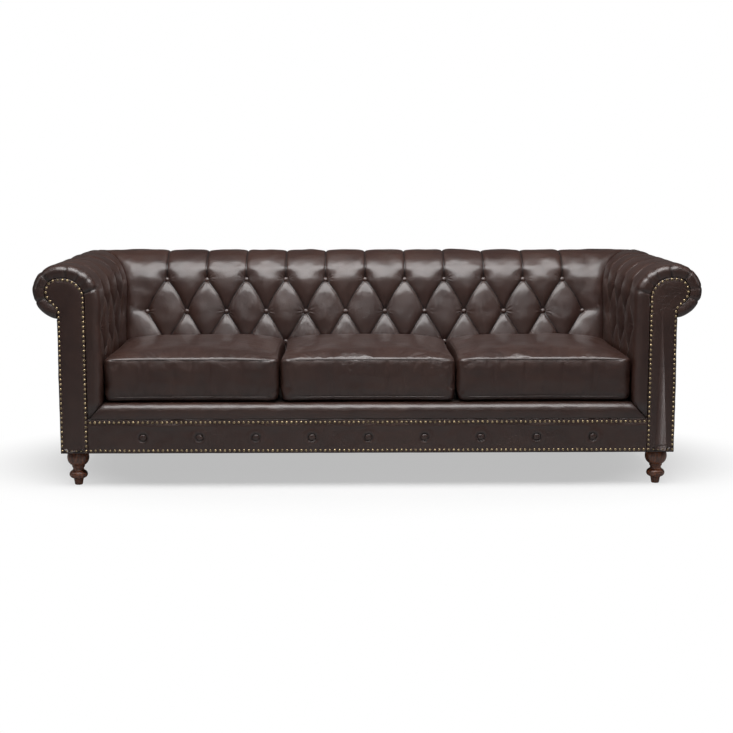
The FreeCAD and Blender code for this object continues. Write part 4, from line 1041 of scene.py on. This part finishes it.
class CushionForm:
    """The flat sizes of one cushion, from its solid in the frame."""

    def __init__(self, sizes, name):
        low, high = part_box(name + "_cushion_cover")
        slack = 0.004
        self.middle = (low + high) / 2
        self.half = Vector((high.x - low.x, high.y - low.y)) / 2 - Vector((slack, slack)) * 0.5
        self.low = low.z
        self.sizes = sizes

    def outline(self, share, count=26):
        """A closed line round the cushion, drawn in between its corners, at a share of its size."""
        radius, draw = self.sizes.cushion_corner, self.sizes.cushion_draw
        line = []
        for turn in range(4):
            run, reach = (self.half.x, self.half.y) if turn % 2 == 0 else (self.half.y, self.half.x)
            for place in np.linspace(-1, 1, count, endpoint=False):
                pull = draw * (1 - place * place) * (0.3 if turn == 2 else 1.0)
                line.append(self.spun(place * (run - radius), -(reach - pull), turn))
            for bend in np.linspace(0, math.pi / 2, 7, endpoint=False):
                line.append(self.spun(run - radius + radius * math.sin(bend),
                                      -(reach - radius + radius * math.cos(bend)), turn))
        return np.array(line) * share

    @staticmethod
    def spun(x, y, turn):
        """A point turned by quarter turns."""
        for _ in range(turn):
            x, y = -y, x
        return x, y

    def ring(self, share, up):
        flat = self.outline(share)
        return np.column_stack((flat + np.array(self.middle[:2]), np.full(len(flat), up)))

    def top(self, points):
        """Height of the crown over a point."""
        shares = np.abs((points[:, :2] - np.array(self.middle[:2])) / np.array(self.half))
        shares = np.clip(shares, 0, 1)
        return self.sizes.cushion_crown * (1 - shares[:, 0] ** 3.4) ** 0.75 * (1 - shares[:, 1] ** 4) ** 0.75


def cushion_start(form, name, seed):
    """The cushion before it is blown up: boxed, crowned and slightly uneven."""
    sizes = form.sizes
    seam_low, seam_high = sizes.cushion_low_seam, sizes.cushion_high_seam
    rings = [form.ring(share, form.low) for share in (0.45, 0.93)] + [form.ring(0.985, form.low + 0.006)]
    rings += [form.ring(1.0, up) for up in np.linspace(seam_low, seam_high, 9)]
    for share in (0.985, 0.95, 0.90, 0.82, 0.72, 0.6, 0.46, 0.3, 0.14):
        ring = form.ring(share, seam_high)
        ring[:, 2] += form.top(ring) + 0.0012 * ripple(ring, seed, 0.2)
        rings.append(ring)
    return capped_rings(name, rings, "leather")


def mesh_points(mesh):
    points = np.empty(len(mesh.vertices) * 3, np.float32)
    mesh.vertices.foreach_get("co", points)
    return points.reshape(-1, 3).astype(float)


def plain_copy(piece, name):
    """The piece with its modifiers carried out, as a new object in its place."""
    graph = bpy.context.evaluated_depsgraph_get()
    mesh = bpy.data.meshes.new_from_object(piece.evaluated_get(graph), depsgraph=graph)
    made = bpy.data.objects.new(name, mesh)
    bpy.context.scene.collection.objects.link(made)
    bpy.data.objects.remove(piece)
    made.name = name
    mesh.name = name
    return made


VOXEL = 0.0062
CLOTH_FRAMES = 18
CLOTH_CAP = 0.006


def blown_up(piece, form):
    """Cloth simulation: pressure fills the cover between its seams, and no point moves past the cap."""
    sizes = form.sizes
    name = piece.name
    remesh = piece.modifiers.new("Even", "REMESH")
    remesh.mode, remesh.voxel_size, remesh.use_smooth_shade = "VOXEL", VOXEL, True
    piece = plain_copy(piece, name)
    rest = mesh_points(piece.data)
    seams = np.minimum(np.abs(rest[:, 2] - sizes.cushion_low_seam),
                       np.abs(rest[:, 2] - sizes.cushion_high_seam))
    rim = np.max(np.abs((rest[:, :2] - np.array(form.middle[:2])) / np.array(form.half)), axis=1) > 0.93
    held = (rim & (seams < 0.0045)) | (rest[:, 2] < form.low + 0.003)
    group = piece.vertex_groups.new(name="held")
    group.add([int(number) for number in np.flatnonzero(held)], 1.0, "REPLACE")
    cloth = piece.modifiers.new("Cloth", "CLOTH")
    settings = cloth.settings
    settings.quality, settings.mass = 5, 0.4
    settings.tension_stiffness = settings.compression_stiffness = 22.0
    settings.shear_stiffness, settings.bending_stiffness = 9.0, 1.6
    settings.shrink_min = -0.012
    settings.use_pressure, settings.uniform_pressure_force = True, 3.0
    settings.vertex_group_mass = "held"
    settings.effector_weights.gravity = 0.0
    scene = bpy.context.scene
    cloth.point_cache.frame_start, cloth.point_cache.frame_end = 1, CLOTH_FRAMES
    for number in range(1, CLOTH_FRAMES + 1):
        scene.frame_set(number)
    graph = bpy.context.evaluated_depsgraph_get()
    moved = mesh_points(piece.evaluated_get(graph).data) - rest
    far = np.linalg.norm(moved, axis=1)
    moved *= (CLOTH_CAP * np.tanh(far / CLOTH_CAP) / np.maximum(far, 1e-9))[:, None]
    piece.modifiers.remove(cloth)
    scene.frame_set(1)
    piece.data.vertices.foreach_set("co", (rest + moved).astype(np.float32).ravel())
    piece.data.update()
    return piece


def settled(piece, form, cad_low, cad_high):
    """Press the underside flat, nip the seams in and keep clear of the neighbours."""
    sizes = form.sizes
    points = mesh_points(piece.data)
    points[:, 2] = np.maximum(points[:, 2], form.low)
    middle = np.array(form.middle[:2])
    off = points[:, :2] - middle
    sides = np.abs(off / np.array(form.half)).max(axis=1) > 0.9
    for seam, nip in ((sizes.cushion_low_seam, 0.0022), (sizes.cushion_high_seam, 0.0026)):
        near = bell(points[:, 2] - seam, 0.006) * sides
        points[:, :2] -= off / np.linalg.norm(off, axis=1, keepdims=True) * (nip * near)[:, None]
    points[:, :2] += 0.0005 * ripple(points, 77, 0.06)[:, None] * sides[:, None] * np.sign(off)
    points[:, 0] = np.clip(points[:, 0], cad_low.x - 0.0012, cad_high.x + 0.0012)
    points[:, 1] = np.clip(points[:, 1], cad_low.y - 0.006, cad_high.y - 0.0005)
    piece.data.vertices.foreach_set("co", points.astype(np.float32).ravel())
    piece.data.update()
    return piece


def smoothed_loop(points, times):
    for _ in range(times):
        points = (np.roll(points, 1, 0) + 2 * points + np.roll(points, -1, 0)) / 4
    return points


def laid_on(piece, line, lift):
    """A closed line moved onto a piece's surface and a little off it."""
    tree = BVHTree.FromObject(piece, bpy.context.evaluated_depsgraph_get())
    found = []
    for point in line:
        place, normal = tree.find_nearest(Vector(point))[:2]
        found.append(place + normal * lift)
    return smoothed_loop(np.array(found), 8)


def tube(line, radius, sides=8):
    """Points and faces of a closed tube along a closed line."""
    ahead = np.roll(line, -1, 0) - np.roll(line, 1, 0)
    ahead /= np.linalg.norm(ahead, axis=1, keepdims=True)
    upward = np.array((0.0, 0.0, 1.0))
    out = np.cross(ahead, upward)
    out /= np.linalg.norm(out, axis=1, keepdims=True)
    over = np.cross(out, ahead)
    turn = np.arange(sides) * 2 * math.pi / sides
    points = (line[:, None] + radius * (np.cos(turn)[None, :, None] * out[:, None]
                                        + np.sin(turn)[None, :, None] * over[:, None])).reshape(-1, 3)
    return points, outward(points, ring_faces(len(line), sides, closed=True))


# Pieces set along rows and seams by geometry nodes

def row_tree(name, inputs, along):
    """A tree that sets a rounded form on each point, or at a pitch along each line, of a mesh."""
    tree = bpy.data.node_groups.new(name, "GeometryNodeTree")
    tree.interface.new_socket("Geometry", in_out="INPUT", socket_type="NodeSocketGeometry")
    for label, kind, value in inputs:
        socket = tree.interface.new_socket(label, in_out="INPUT", socket_type="NodeSocket" + kind)
        if value is not None:
            socket.default_value = value
    tree.interface.new_socket("Geometry", in_out="OUTPUT", socket_type="NodeSocketGeometry")
    graph = Graph(tree)
    given = tree.nodes.new("NodeGroupInput")
    wanted = {socket.name: Value(graph, socket) for socket in given.outputs if socket.name}
    form = graph.node("GeometryNodeMeshUVSphere", {},
                      {"Segments": wanted["Segments"], "Rings": wanted["Rings"], "Radius": 0.5})
    points, vector = wanted["Geometry"], None
    if along:
        curve = graph.node("GeometryNodeMeshToCurve", {}, {"Mesh": points})
        points = graph.node("GeometryNodeResampleCurve", {"mode": "LENGTH"},
                            {"Curve": curve, "Length": wanted["Pitch"]})
        vector = graph.node("GeometryNodeInputTangent")
    else:
        vector = graph.node("GeometryNodeInputNamedAttribute", {"data_type": "FLOAT_VECTOR"},
                            {"Name": "facing"})
    turn = graph.node("FunctionNodeAlignRotationToVector", {"axis": "X" if along else "Z"},
                      {"Vector": vector})
    tilt = graph.node("FunctionNodeRandomValue", {"data_type": "FLOAT_VECTOR"},
                      {"Min": (-1.0, -1.0, -1.0), "Max": (1.0, 1.0, 1.0), "Seed": wanted["Seed"]},
                      out="Value")
    tilt = graph.node("ShaderNodeVectorMath", {"operation": "SCALE"}, {0: tilt, "Scale": wanted["Tilt"]})
    tilt = graph.node("FunctionNodeEulerToRotation", {}, {"Euler": tilt})
    turn = graph.node("FunctionNodeRotateRotation", {"rotation_space": "LOCAL"},
                      {"Rotation": turn, "Rotate By": tilt})
    size = graph.node("ShaderNodeCombineXYZ", {}, {"X": wanted["Width"], "Y": wanted["Depth"],
                                                   "Z": wanted["Height"]})
    placed = graph.node("GeometryNodeInstanceOnPoints", {},
                        {"Points": points, "Instance": form, "Rotation": turn, "Scale": size})
    whole = graph.node("GeometryNodeRealizeInstances", {}, {"Geometry": placed})
    smooth = graph.node("GeometryNodeSetShadeSmooth", {}, {"Geometry": whole})
    done = graph.node("GeometryNodeSetMaterial", {}, {"Geometry": smooth, "Material": wanted["Material"]})
    graph.node("NodeGroupOutput", {}, {"Geometry": done})
    return tree


ROW_INPUTS = [("Width", "Float", 0.01), ("Depth", "Float", 0.01), ("Height", "Float", 0.006),
              ("Segments", "Int", 10), ("Rings", "Int", 6), ("Tilt", "Float", 0.0), ("Seed", "Int", 3),
              ("Material", "Material", None)]


def set_in_rows(name, mesh, tree, **values):
    """Run a row tree over a mesh and keep the result as a plain piece."""
    carrier = bpy.data.objects.new(name + "_rows", mesh)
    bpy.context.scene.collection.objects.link(carrier)
    modifier = carrier.modifiers.new("Rows", "NODES")
    modifier.node_group = tree
    for socket in tree.interface.items_tree:
        if socket.in_out == "INPUT" and socket.name in values:
            modifier[socket.identifier] = values[socket.name]
    return plain_copy(carrier, name)


def head_mesh(name, places, facings):
    """Points that carry the way each head faces."""
    mesh = bpy.data.meshes.new(name)
    mesh.from_pydata([tuple(place) for place in places], [], [])
    attribute = mesh.attributes.new("facing", "FLOAT_VECTOR", "POINT")
    attribute.data.foreach_set("vector", np.asarray(facings, np.float32).ravel())
    return mesh


def heads(name, places, facings, **values):
    """Rounded forms on places, each turned the way it faces."""
    return set_in_rows(name, head_mesh(name + "_seats", places, facings), trees()["heads"], **values)


def line_mesh(name, lines):
    """Closed lines of edges for stitches to follow."""
    points, edges = [], []
    for line in lines:
        start = len(points)
        points += [tuple(point) for point in line]
        edges += [(start + number, start + (number + 1) % len(line)) for number in range(len(line))]
    mesh = bpy.data.meshes.new(name)
    mesh.from_pydata(points, edges, [])
    return mesh


TREES = {}


def trees():
    """The two row trees, made once."""
    if not TREES:
        TREES["heads"] = row_tree("Heads", ROW_INPUTS, along=False)
        TREES["stitches"] = row_tree("Stitches", ROW_INPUTS + [("Pitch", "Float", 0.005)], along=True)
    return TREES


# Middle of a covered button over the bottom of the leather round it
BUTTON_RISE = 0.0075


def button_seats(sizes, section, ends, place):
    """Where the buttons of a buttoned piece sit and which way they face."""
    places, facings = [], []
    for row, up in enumerate((sizes.row_high, sizes.row_middle, sizes.row_low)):
        out, high, n_out, n_up = (float(part) for part in section.at(section.length_at(up)))
        sink = BUTTON_RISE - sizes.pillow
        for u in np.arange(ends[0][row], ends[1][row] + 0.1):
            places.append(place(u, out + sink * n_out, high + sink * n_up))
            facings.append(place(u, n_out, n_up) - place(u, 0.0, 0.0))
    return places, facings


def tuft_buttons(sizes):
    """Covered buttons of the back and both arms."""
    made = {}
    groups = [("back", back_section(sizes), BACK_ROWS, back_place(sizes))]
    groups += [(name + "_arm", arm_section(sizes), ARM_ROWS, arm_place(sizes, side)) for name, side in SIDES]
    for name, section, ends, place in groups:
        made[name + "_buttons"] = heads(name + "_tuft_buttons", *button_seats(sizes, section, ends, place),
                                        Width=sizes.button, Depth=sizes.button, Height=sizes.button * 0.62,
                                        Segments=20, Rings=12, Tilt=0.10, Seed=4,
                                        Material=MATERIALS["leather"])
    return made


FORWARD = (0.0, -1.0, 0.0)


def rail_button_pieces(sizes):
    """Covered buttons along the rail."""
    places = [(x, PANEL_FRONT + 0.0022, z) for x, z in rail_button_places()]
    return heads("rail_covered_buttons", places, [FORWARD] * len(places), Width=sizes.rail_button,
                 Depth=sizes.rail_button, Height=0.0088, Segments=22, Rings=12, Tilt=0.05, Seed=5,
                 Material=MATERIALS["leather"])


def nail_trim(sizes):
    """Domed brass nails on the facings and the rail."""
    places = nail_points()
    places[:, 1] = PANEL_FRONT + 0.0004
    return heads("brass_nail_trim", places, [FORWARD] * len(places), Width=sizes.nail_head,
                 Depth=sizes.nail_head, Height=2 * sizes.nail_rise, Segments=10, Rings=6, Tilt=0.13,
                 Seed=6, Material=MATERIALS["antique_brass"])


# Turned feet

FOOT_PROFILE = ((0.0, 0.0), (0.0118, 0.0), (0.0135, 0.0016), (0.0148, 0.0080), (0.0162, 0.0200),
                (0.0195, 0.0236), (0.0262, 0.0262), (0.0305, 0.0308), (0.0323, 0.0375), (0.0305, 0.0442),
                (0.0262, 0.0490), (0.0205, 0.0520), (0.0186, 0.0560), (0.0190, 0.0605), (0.0222, 0.0640),
                (0.0226, 0.0668), (0.0214, 0.0690), (0.0262, 0.0720), (0.0325, 0.0782), (0.0368, 0.0865),
                (0.0385, 0.0965), (0.0378, 0.1065), (0.0352, 0.1148), (0.0322, 0.1196), (0.0, 0.1196))
FOOT_SIDES = 48


def turned_foot(name, node):
    """A foot turned on a lathe, round the middle of its solid in the frame."""
    low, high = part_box(node)
    middle = (low + high) / 2
    profile = []
    for (r0, z0), (r1, z1) in zip(FOOT_PROFILE, FOOT_PROFILE[1:]):
        profile += [(r0, z0), ((r0 + r1) / 2, (z0 + z1) / 2)]
    profile.append(FOOT_PROFILE[-1])
    line = np.array(profile)
    line[1:-1] = (line[:-2] + 2 * line[1:-1] + line[2:]) / 4
    line[0], line[-1] = FOOT_PROFILE[0], FOOT_PROFILE[-1]
    line[:, 1] = np.maximum(line[:, 1], 0.0)
    points = [(middle.x, middle.y, 0.0)]
    for radius, up in line[1:-1]:
        for number in range(FOOT_SIDES):
            turn = 2 * math.pi * number / FOOT_SIDES
            points.append((middle.x + radius * math.cos(turn), middle.y + radius * math.sin(turn), up))
    points.append((middle.x, middle.y, high.z - 0.0002))
    rings = len(line) - 2
    faces = ring_faces(rings, FOOT_SIDES, start=1)
    top, last = len(points) - 1, 1 + (rings - 1) * FOOT_SIDES
    for number in range(FOOT_SIDES):
        after = (number + 1) % FOOT_SIDES
        faces.append([0, 1 + after, 1 + number])
        faces.append([top, last + number, last + after])
    return new_piece(name, points, outward(points, faces), "walnut")


# Seat deck, linings and underside

def deck():
    """The padded platform under the cushions, covered in cloth."""
    low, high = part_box("deck_cover")
    pad_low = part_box("deck_pad")[0].z
    along = edged(low.y, high.y, 0.02)
    x, y, edge = spread(edged(low.x, high.x, 0.02), along)
    waves = np.abs(ripple(vectors(x, y, 0.0), 9, 0.2))
    drop = -0.006 * (1 - swell(edge / 0.02, 0.6)) - 0.0004 - 0.0008 * waves
    back = np.stack([vectors(end, along, pad_low) for end in (low.x, high.x)], 1)
    return closed_skin("seat_deck", vectors(x, y, DECK_TOP + drop), drop, back, "deck_cloth")


def flat_cloth(name, node, material, sag, step):
    """A thin stretched cloth in the place of a node, sagging between its edges."""
    low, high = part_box(node)
    x, y, edge = spread(*(np.linspace(start, end, int((end - start) / step))
                          for start, end in zip(low[:2], high[:2])))
    drop = -sag * swell(edge / 0.25, 0.8) * (1 + 0.25 * ripple(vectors(x, y, 0.0), 13, 0.3))
    points = vectors(x, y, (low.z + high.z) / 2 + drop)
    columns, rows = x.shape
    index = np.arange(columns * rows).reshape(columns, rows)
    faces = np.stack((index[:-1, :-1], index[1:, :-1], index[1:, 1:], index[:-1, 1:]), -1).reshape(-1, 4)
    piece = new_piece(name, points.reshape(-1, 3).tolist(), faces.tolist(), material)
    solid = piece.modifiers.new("Thickness", "SOLIDIFY")
    solid.thickness, solid.offset = (high.z - low.z) * 0.8, 0.0
    return plain_copy(piece, name), (high.x - low.x, high.y - low.y)


def staples(pitch, inset):
    """Staples round the edge of the dust cloth."""
    low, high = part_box("dust_cover")
    corners = np.array(((low.x, low.y), (high.x, low.y), (high.x, high.y), (low.x, high.y)))
    corners += np.array(((1, 1), (-1, 1), (-1, -1), (1, -1))) * inset
    places = np.concatenate([straight_run(start, end, pitch)[:-1]
                             for start, end in zip(corners, np.roll(corners, -1, 0))])
    seats = [(x, y, low.z - 0.0001) for x, y in places]
    return heads("dust_cloth_staples", seats, [(0.0, 0.0, -1.0)] * len(seats), Width=0.0110, Depth=0.0010,
                 Height=0.0010, Segments=6, Rings=4, Tilt=0.25, Seed=8, Material=MATERIALS["zinc_steel"])


TOOTH_PITCH = 0.0026


def zip_tape(name):
    """A zip along the back of a cushion: tape, and a row of coil teeth."""
    low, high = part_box(name + "_cushion_zip")
    middle = (low.z + high.z) / 2
    across, up = edged(low.x, high.x, 0.01), np.linspace(low.z, high.z, 13)

    def push(x, z):
        return 0.0002 * ripple(vectors(x, 0.0, z), 41, 0.05) + 0.0003 * (np.abs(z - middle) < 0.002)

    def place(x, z, out):
        return vectors(x, high.y - 0.0004 + out, z)

    tape = panel(name + "_zip_tape", across, up, place, high.y - low.y - 0.0004, push)
    tape.data.materials.clear()
    tape.data.materials.append(MATERIALS["zip_tape"])
    places = [(low.x + 0.0015 + number * TOOTH_PITCH, high.y - 0.0004, middle + (-1) ** number * 0.0009)
              for number in range(int((high.x - low.x) / TOOTH_PITCH))]
    teeth = heads(name + "_zip_teeth", places, [(0.0, 1.0, 0.0)] * len(places), Width=0.0019, Depth=0.0046,
                  Height=0.0016, Segments=6, Rings=4, Material=MATERIALS["antique_brass"])
    return tape, teeth


# The stage

def area_lamp(name, place, aim, size, power):
    """A soft box that points at a place."""
    lamp = bpy.data.lights.new(name, "AREA")
    lamp.shape, lamp.size, lamp.size_y = "RECTANGLE", size[0], size[1]
    lamp.energy = power
    holder = bpy.data.objects.new(name, lamp)
    holder.location = place
    holder.rotation_euler = (Vector(aim) - Vector(place)).to_track_quat("-Z", "Y").to_euler()
    bpy.context.scene.collection.objects.link(holder)


def studio(settings, colours):
    """Floor, lamps, room light and camera."""
    scene = bpy.context.scene
    shader = Shader("Studio_floor")
    tree = shader.tree
    shader.set(Base_Color=tuple(colours.floor), Roughness=0.55, Specular_IOR_Level=0.3)
    plain = Value(shader, shader.surface.outputs[0])
    lift = shader.node("ShaderNodeEmission", {}, {"Color": (1.0, 1.0, 1.0, 1.0), "Strength": 0.49})
    white = shader.node("ShaderNodeEmission", {}, {"Color": (1.0, 1.0, 1.0, 1.0), "Strength": 1.0})
    lit = shader.node("ShaderNodeAddShader", {}, {0: plain, 1: lift})
    near = shader.node("ShaderNodeVectorMath", {"operation": "LENGTH"},
                       {0: shader.stretched((0.62, 1.0, 1.0))}, out="Value")
    bright = shader.node("ShaderNodeMixShader", {}, {0: shader.between(near, 0.58, 1.02), 1: lit, 2: white})
    seen = shader.node("ShaderNodeLightPath", out="Is Camera Ray")
    choice = shader.node("ShaderNodeMixShader", {}, {0: seen, 1: plain, 2: bright})
    tree.links.new(choice.socket, tree.nodes["Material Output"].inputs["Surface"])
    MATERIALS["floor"] = shader.material
    reach = 14.0
    corners = [(-reach, -reach, 0.0), (reach, -reach, 0.0), (reach, reach, 0.0), (-reach, reach, 0.0)]
    floor = new_piece("studio_floor", corners, [[0, 1, 2, 3]], "floor")
    world = bpy.data.worlds.new("Studio_room")
    world.use_nodes = True
    room = Graph(world.node_tree)
    paths = [room.node("ShaderNodeLightPath", out=kind)
             for kind in ("Is Camera Ray", "Is Transmission Ray", "Is Glossy Ray")]
    shown = paths[0].math("MAXIMUM", paths[1]).math("MAXIMUM", paths[2] * 0.03)
    soft = room.node("ShaderNodeBackground", {},
                     {"Color": (1.0, 0.985, 0.97, 1.0), "Strength": settings.room})
    clear = room.node("ShaderNodeBackground", {}, {"Color": (1.0, 1.0, 1.0, 1.0), "Strength": 1.0})
    mixed = room.node("ShaderNodeMixShader", {}, {0: shown, 1: soft, 2: clear})
    world.node_tree.links.new(mixed.socket, world.node_tree.nodes["World Output"].inputs["Surface"])
    scene.world = world
    area_lamp("key_lamp", (0.0, -1.05, 3.0), (0.0, 0.0, 0.4), (3.4, 2.3), settings.key)
    area_lamp("fill_lamp", (0.0, -5.0, 2.1), (0.0, 0.0, 0.45), (4.2, 1.8), settings.fill)
    for name, side in SIDES:
        area_lamp("side_lamp_" + name, (side * 3.4, -1.2, 1.7), (side * 0.6, 0.0, 0.45), (1.2, 1.8),
                  settings.side)
    camera = bpy.data.cameras.new("Camera")
    camera.lens, camera.sensor_width = settings.lens, 36.0
    holder = bpy.data.objects.new("Camera", camera)
    holder.location = settings.place
    holder.rotation_euler = (math.pi / 2 - settings.tilt, 0.0, -settings.turn)
    scene.collection.objects.link(holder)
    scene.camera = holder
    scene.view_settings.view_transform = "Standard"


# Operators

def dressed(piece, body, slot, *nodes):
    """Ride and stand-in of a new piece; the finish it is given is not used."""
    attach(piece, body)
    if nodes:
        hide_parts(*nodes)
    return piece


class SOFA_OT_materials(bpy.types.Operator):
    """Make every material and give the frame's own pieces theirs"""
    bl_idname = "sofa.materials"
    bl_label = "Materials"

    def execute(self, context):
        make_materials(context.scene.sofa_sizes, context.scene.sofa_colours)
        for part in frame["record"]["subparts"]:
            node = frame["nodes"][part["node"]]
            node.data.materials.clear()
            node.data.materials.append(MATERIALS[part["material_slot"]])
        return {"FINISHED"}


class SOFA_OT_back(bpy.types.Operator):
    """Build the buttoned back"""
    bl_idname = "sofa.back"
    bl_label = "Back"

    def execute(self, context):
        piece = back_upholstery(context.scene.sofa_sizes)
        dressed(piece, "sofa", "leather", "back_cover", "back_foam")
        return {"FINISHED"}


class SOFA_OT_arms(bpy.types.Operator):
    """Build both buttoned arms"""
    bl_idname = "sofa.arms"
    bl_label = "Arms"

    def execute(self, context):
        for name, side in SIDES:
            piece = arm_upholstery(context.scene.sofa_sizes, name + "_arm_upholstery", side)
            dressed(piece, "sofa", "leather", name + "_arm_cover", name + "_arm_foam")
        return {"FINISHED"}


class SOFA_OT_front(bpy.types.Operator):
    """Build the lip, the rail's leather and the facings"""
    bl_idname = "sofa.front"
    bl_label = "Front"

    def execute(self, context):
        sizes = context.scene.sofa_sizes
        lip = dressed(lip_upholstery(sizes), "sofa", "leather", "lip_cover", "lip_foam")
        dressed(rail_leather(sizes), "sofa", "leather", "rail_panel")
        for name, side in SIDES:
            facing = facing_leather(sizes, name + "_arm_facing_leather", side)
            dressed(facing, "sofa", "leather", name + "_arm_facing")
        return {"FINISHED"}


class SOFA_OT_outside(bpy.types.Operator):
    """Build the plain panels outside the arms and the back"""
    bl_idname = "sofa.outside"
    bl_label = "Outside panels"

    def execute(self, context):
        for node, piece in outside_panels().items():
            dressed(piece, "sofa", "leather", node)
        return {"FINISHED"}


class SOFA_OT_cushions(bpy.types.Operator):
    """Build the loose cushions with their welts, stitches and zips"""
    bl_idname = "sofa.cushions"
    bl_label = "Cushions"

    def execute(self, context):
        sizes = context.scene.sofa_sizes
        for seed, name in enumerate(("left", "middle", "right")):
            body = name + "_cushion"
            form = CushionForm(sizes, name)
            piece = cushion_start(form, name + "_seat_cushion", 80 + seed)
            piece = blown_up(piece, form)
            piece = settled(piece, form, *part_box(name + "_cushion_cover"))
            dressed(piece, body, "leather", name + "_cushion_cover", name + "_cushion_core")
            seams, runs = [], []
            for up, step in ((sizes.cushion_low_seam, 0.006), (sizes.cushion_high_seam, -0.006)):
                ring = form.ring(1.0, up)
                seams.append(laid_on(piece, ring, 0.0002))
                runs.append(laid_on(piece, form.ring(1.0, up + step), 0.0001))
            points, faces = [], []
            for line in seams:
                more, sides = tube(line, sizes.welt / 2)
                faces += [[corner + len(points) for corner in face] for face in sides]
                points += more.tolist()
            dressed(new_piece(name + "_cushion_welts", points, faces, "leather"), body, "leather")
            stitches = set_in_rows(name + "_cushion_stitches", line_mesh(name + "_stitch_lines", runs),
                                   trees()["stitches"], Width=sizes.stitch * 0.72, Depth=0.0009,
                                   Height=0.0009, Segments=5, Rings=4, Pitch=sizes.stitch,
                                   Material=MATERIALS["thread"])
            dressed(stitches, body, "leather")
            tape, teeth = zip_tape(name)
            dressed(tape, body, "zip_tape", name + "_cushion_zip")
            dressed(teeth, body, "antique_brass")
        return {"FINISHED"}


class SOFA_OT_trim(bpy.types.Operator):
    """Build the covered buttons and the brass nails"""
    bl_idname = "sofa.trim"
    bl_label = "Buttons and nails"

    def execute(self, context):
        sizes = context.scene.sofa_sizes
        for node, piece in tuft_buttons(sizes).items():
            dressed(piece, "sofa", "leather", node)
        dressed(rail_button_pieces(sizes), "sofa", "leather", "rail_buttons")
        dressed(nail_trim(sizes), "sofa", "antique_brass", "trim_nails")
        return {"FINISHED"}


class SOFA_OT_feet(bpy.types.Operator):
    """Build the turned feet"""
    bl_idname = "sofa.feet"
    bl_label = "Feet"

    def execute(self, context):
        for corner in ("front_left", "front_right", "rear_left", "rear_right"):
            foot = turned_foot(corner + "_turned_foot", corner + "_foot")
            dressed(foot, "sofa", "walnut", corner + "_foot")
        return {"FINISHED"}


class SOFA_OT_linings(bpy.types.Operator):
    """Build the seat deck, the hessian over the springs and the dust cloth"""
    bl_idname = "sofa.linings"
    bl_label = "Linings"

    def execute(self, context):
        piece = dressed(deck(), "sofa", "deck_cloth", "deck_cover", "deck_pad")
        for name, node, slot, sag in (("dust_cloth", "dust_cover", "black_cloth", 0.0),
                                      ("hessian_cloth", "deck_cloth", "hessian", 0.0004)):
            cloth, flat = flat_cloth(name, node, slot, sag, step=0.03)
            dressed(cloth, "sofa", slot, node)
        dressed(staples(pitch=0.04, inset=0.009), "sofa", "zinc_steel")
        return {"FINISHED"}


class SOFA_OT_studio(bpy.types.Operator):
    """Set up the floor, the lamps and the camera"""
    bl_idname = "sofa.studio"
    bl_label = "Studio"

    def execute(self, context):
        studio(context.scene.sofa_studio, context.scene.sofa_colours)
        return {"FINISHED"}


STEPS = (SOFA_OT_materials, SOFA_OT_back, SOFA_OT_arms, SOFA_OT_front, SOFA_OT_outside, SOFA_OT_cushions,
         SOFA_OT_trim, SOFA_OT_feet, SOFA_OT_linings, SOFA_OT_studio)


class SOFA_PT_panel(bpy.types.Panel):
    """Sizes, colours and steps of the sofa"""
    bl_idname = "SOFA_PT_panel"
    bl_label = "Sofa"
    bl_space_type = "VIEW_3D"
    bl_region_type = "UI"
    bl_category = "Sofa"

    def draw(self, context):
        for step in STEPS:
            self.layout.operator(step.bl_idname)
        for group in (context.scene.sofa_sizes, context.scene.sofa_colours, context.scene.sofa_studio):
            box = self.layout.box()
            for name in group.bl_rna.properties.keys():
                if name not in ("rna_type", "name"):
                    box.prop(group, name)


CLASSES = (SofaSizes, SofaColours, StudioSettings) + STEPS + (SOFA_PT_panel,)


def register():
    for item in CLASSES:
        bpy.utils.register_class(item)
    bpy.types.Scene.sofa_sizes = PointerProperty(type=SofaSizes)
    bpy.types.Scene.sofa_colours = PointerProperty(type=SofaColours)
    bpy.types.Scene.sofa_studio = PointerProperty(type=StudioSettings)


def unregister():
    del bpy.types.Scene.sofa_sizes, bpy.types.Scene.sofa_colours, bpy.types.Scene.sofa_studio
    for item in reversed(CLASSES):
        bpy.utils.unregister_class(item)


def main():
    register()
    for step in STEPS:
        group, name = step.bl_idname.split(".")
        getattr(getattr(bpy.ops, group), name)()


if __name__ == "__main__":
    main()
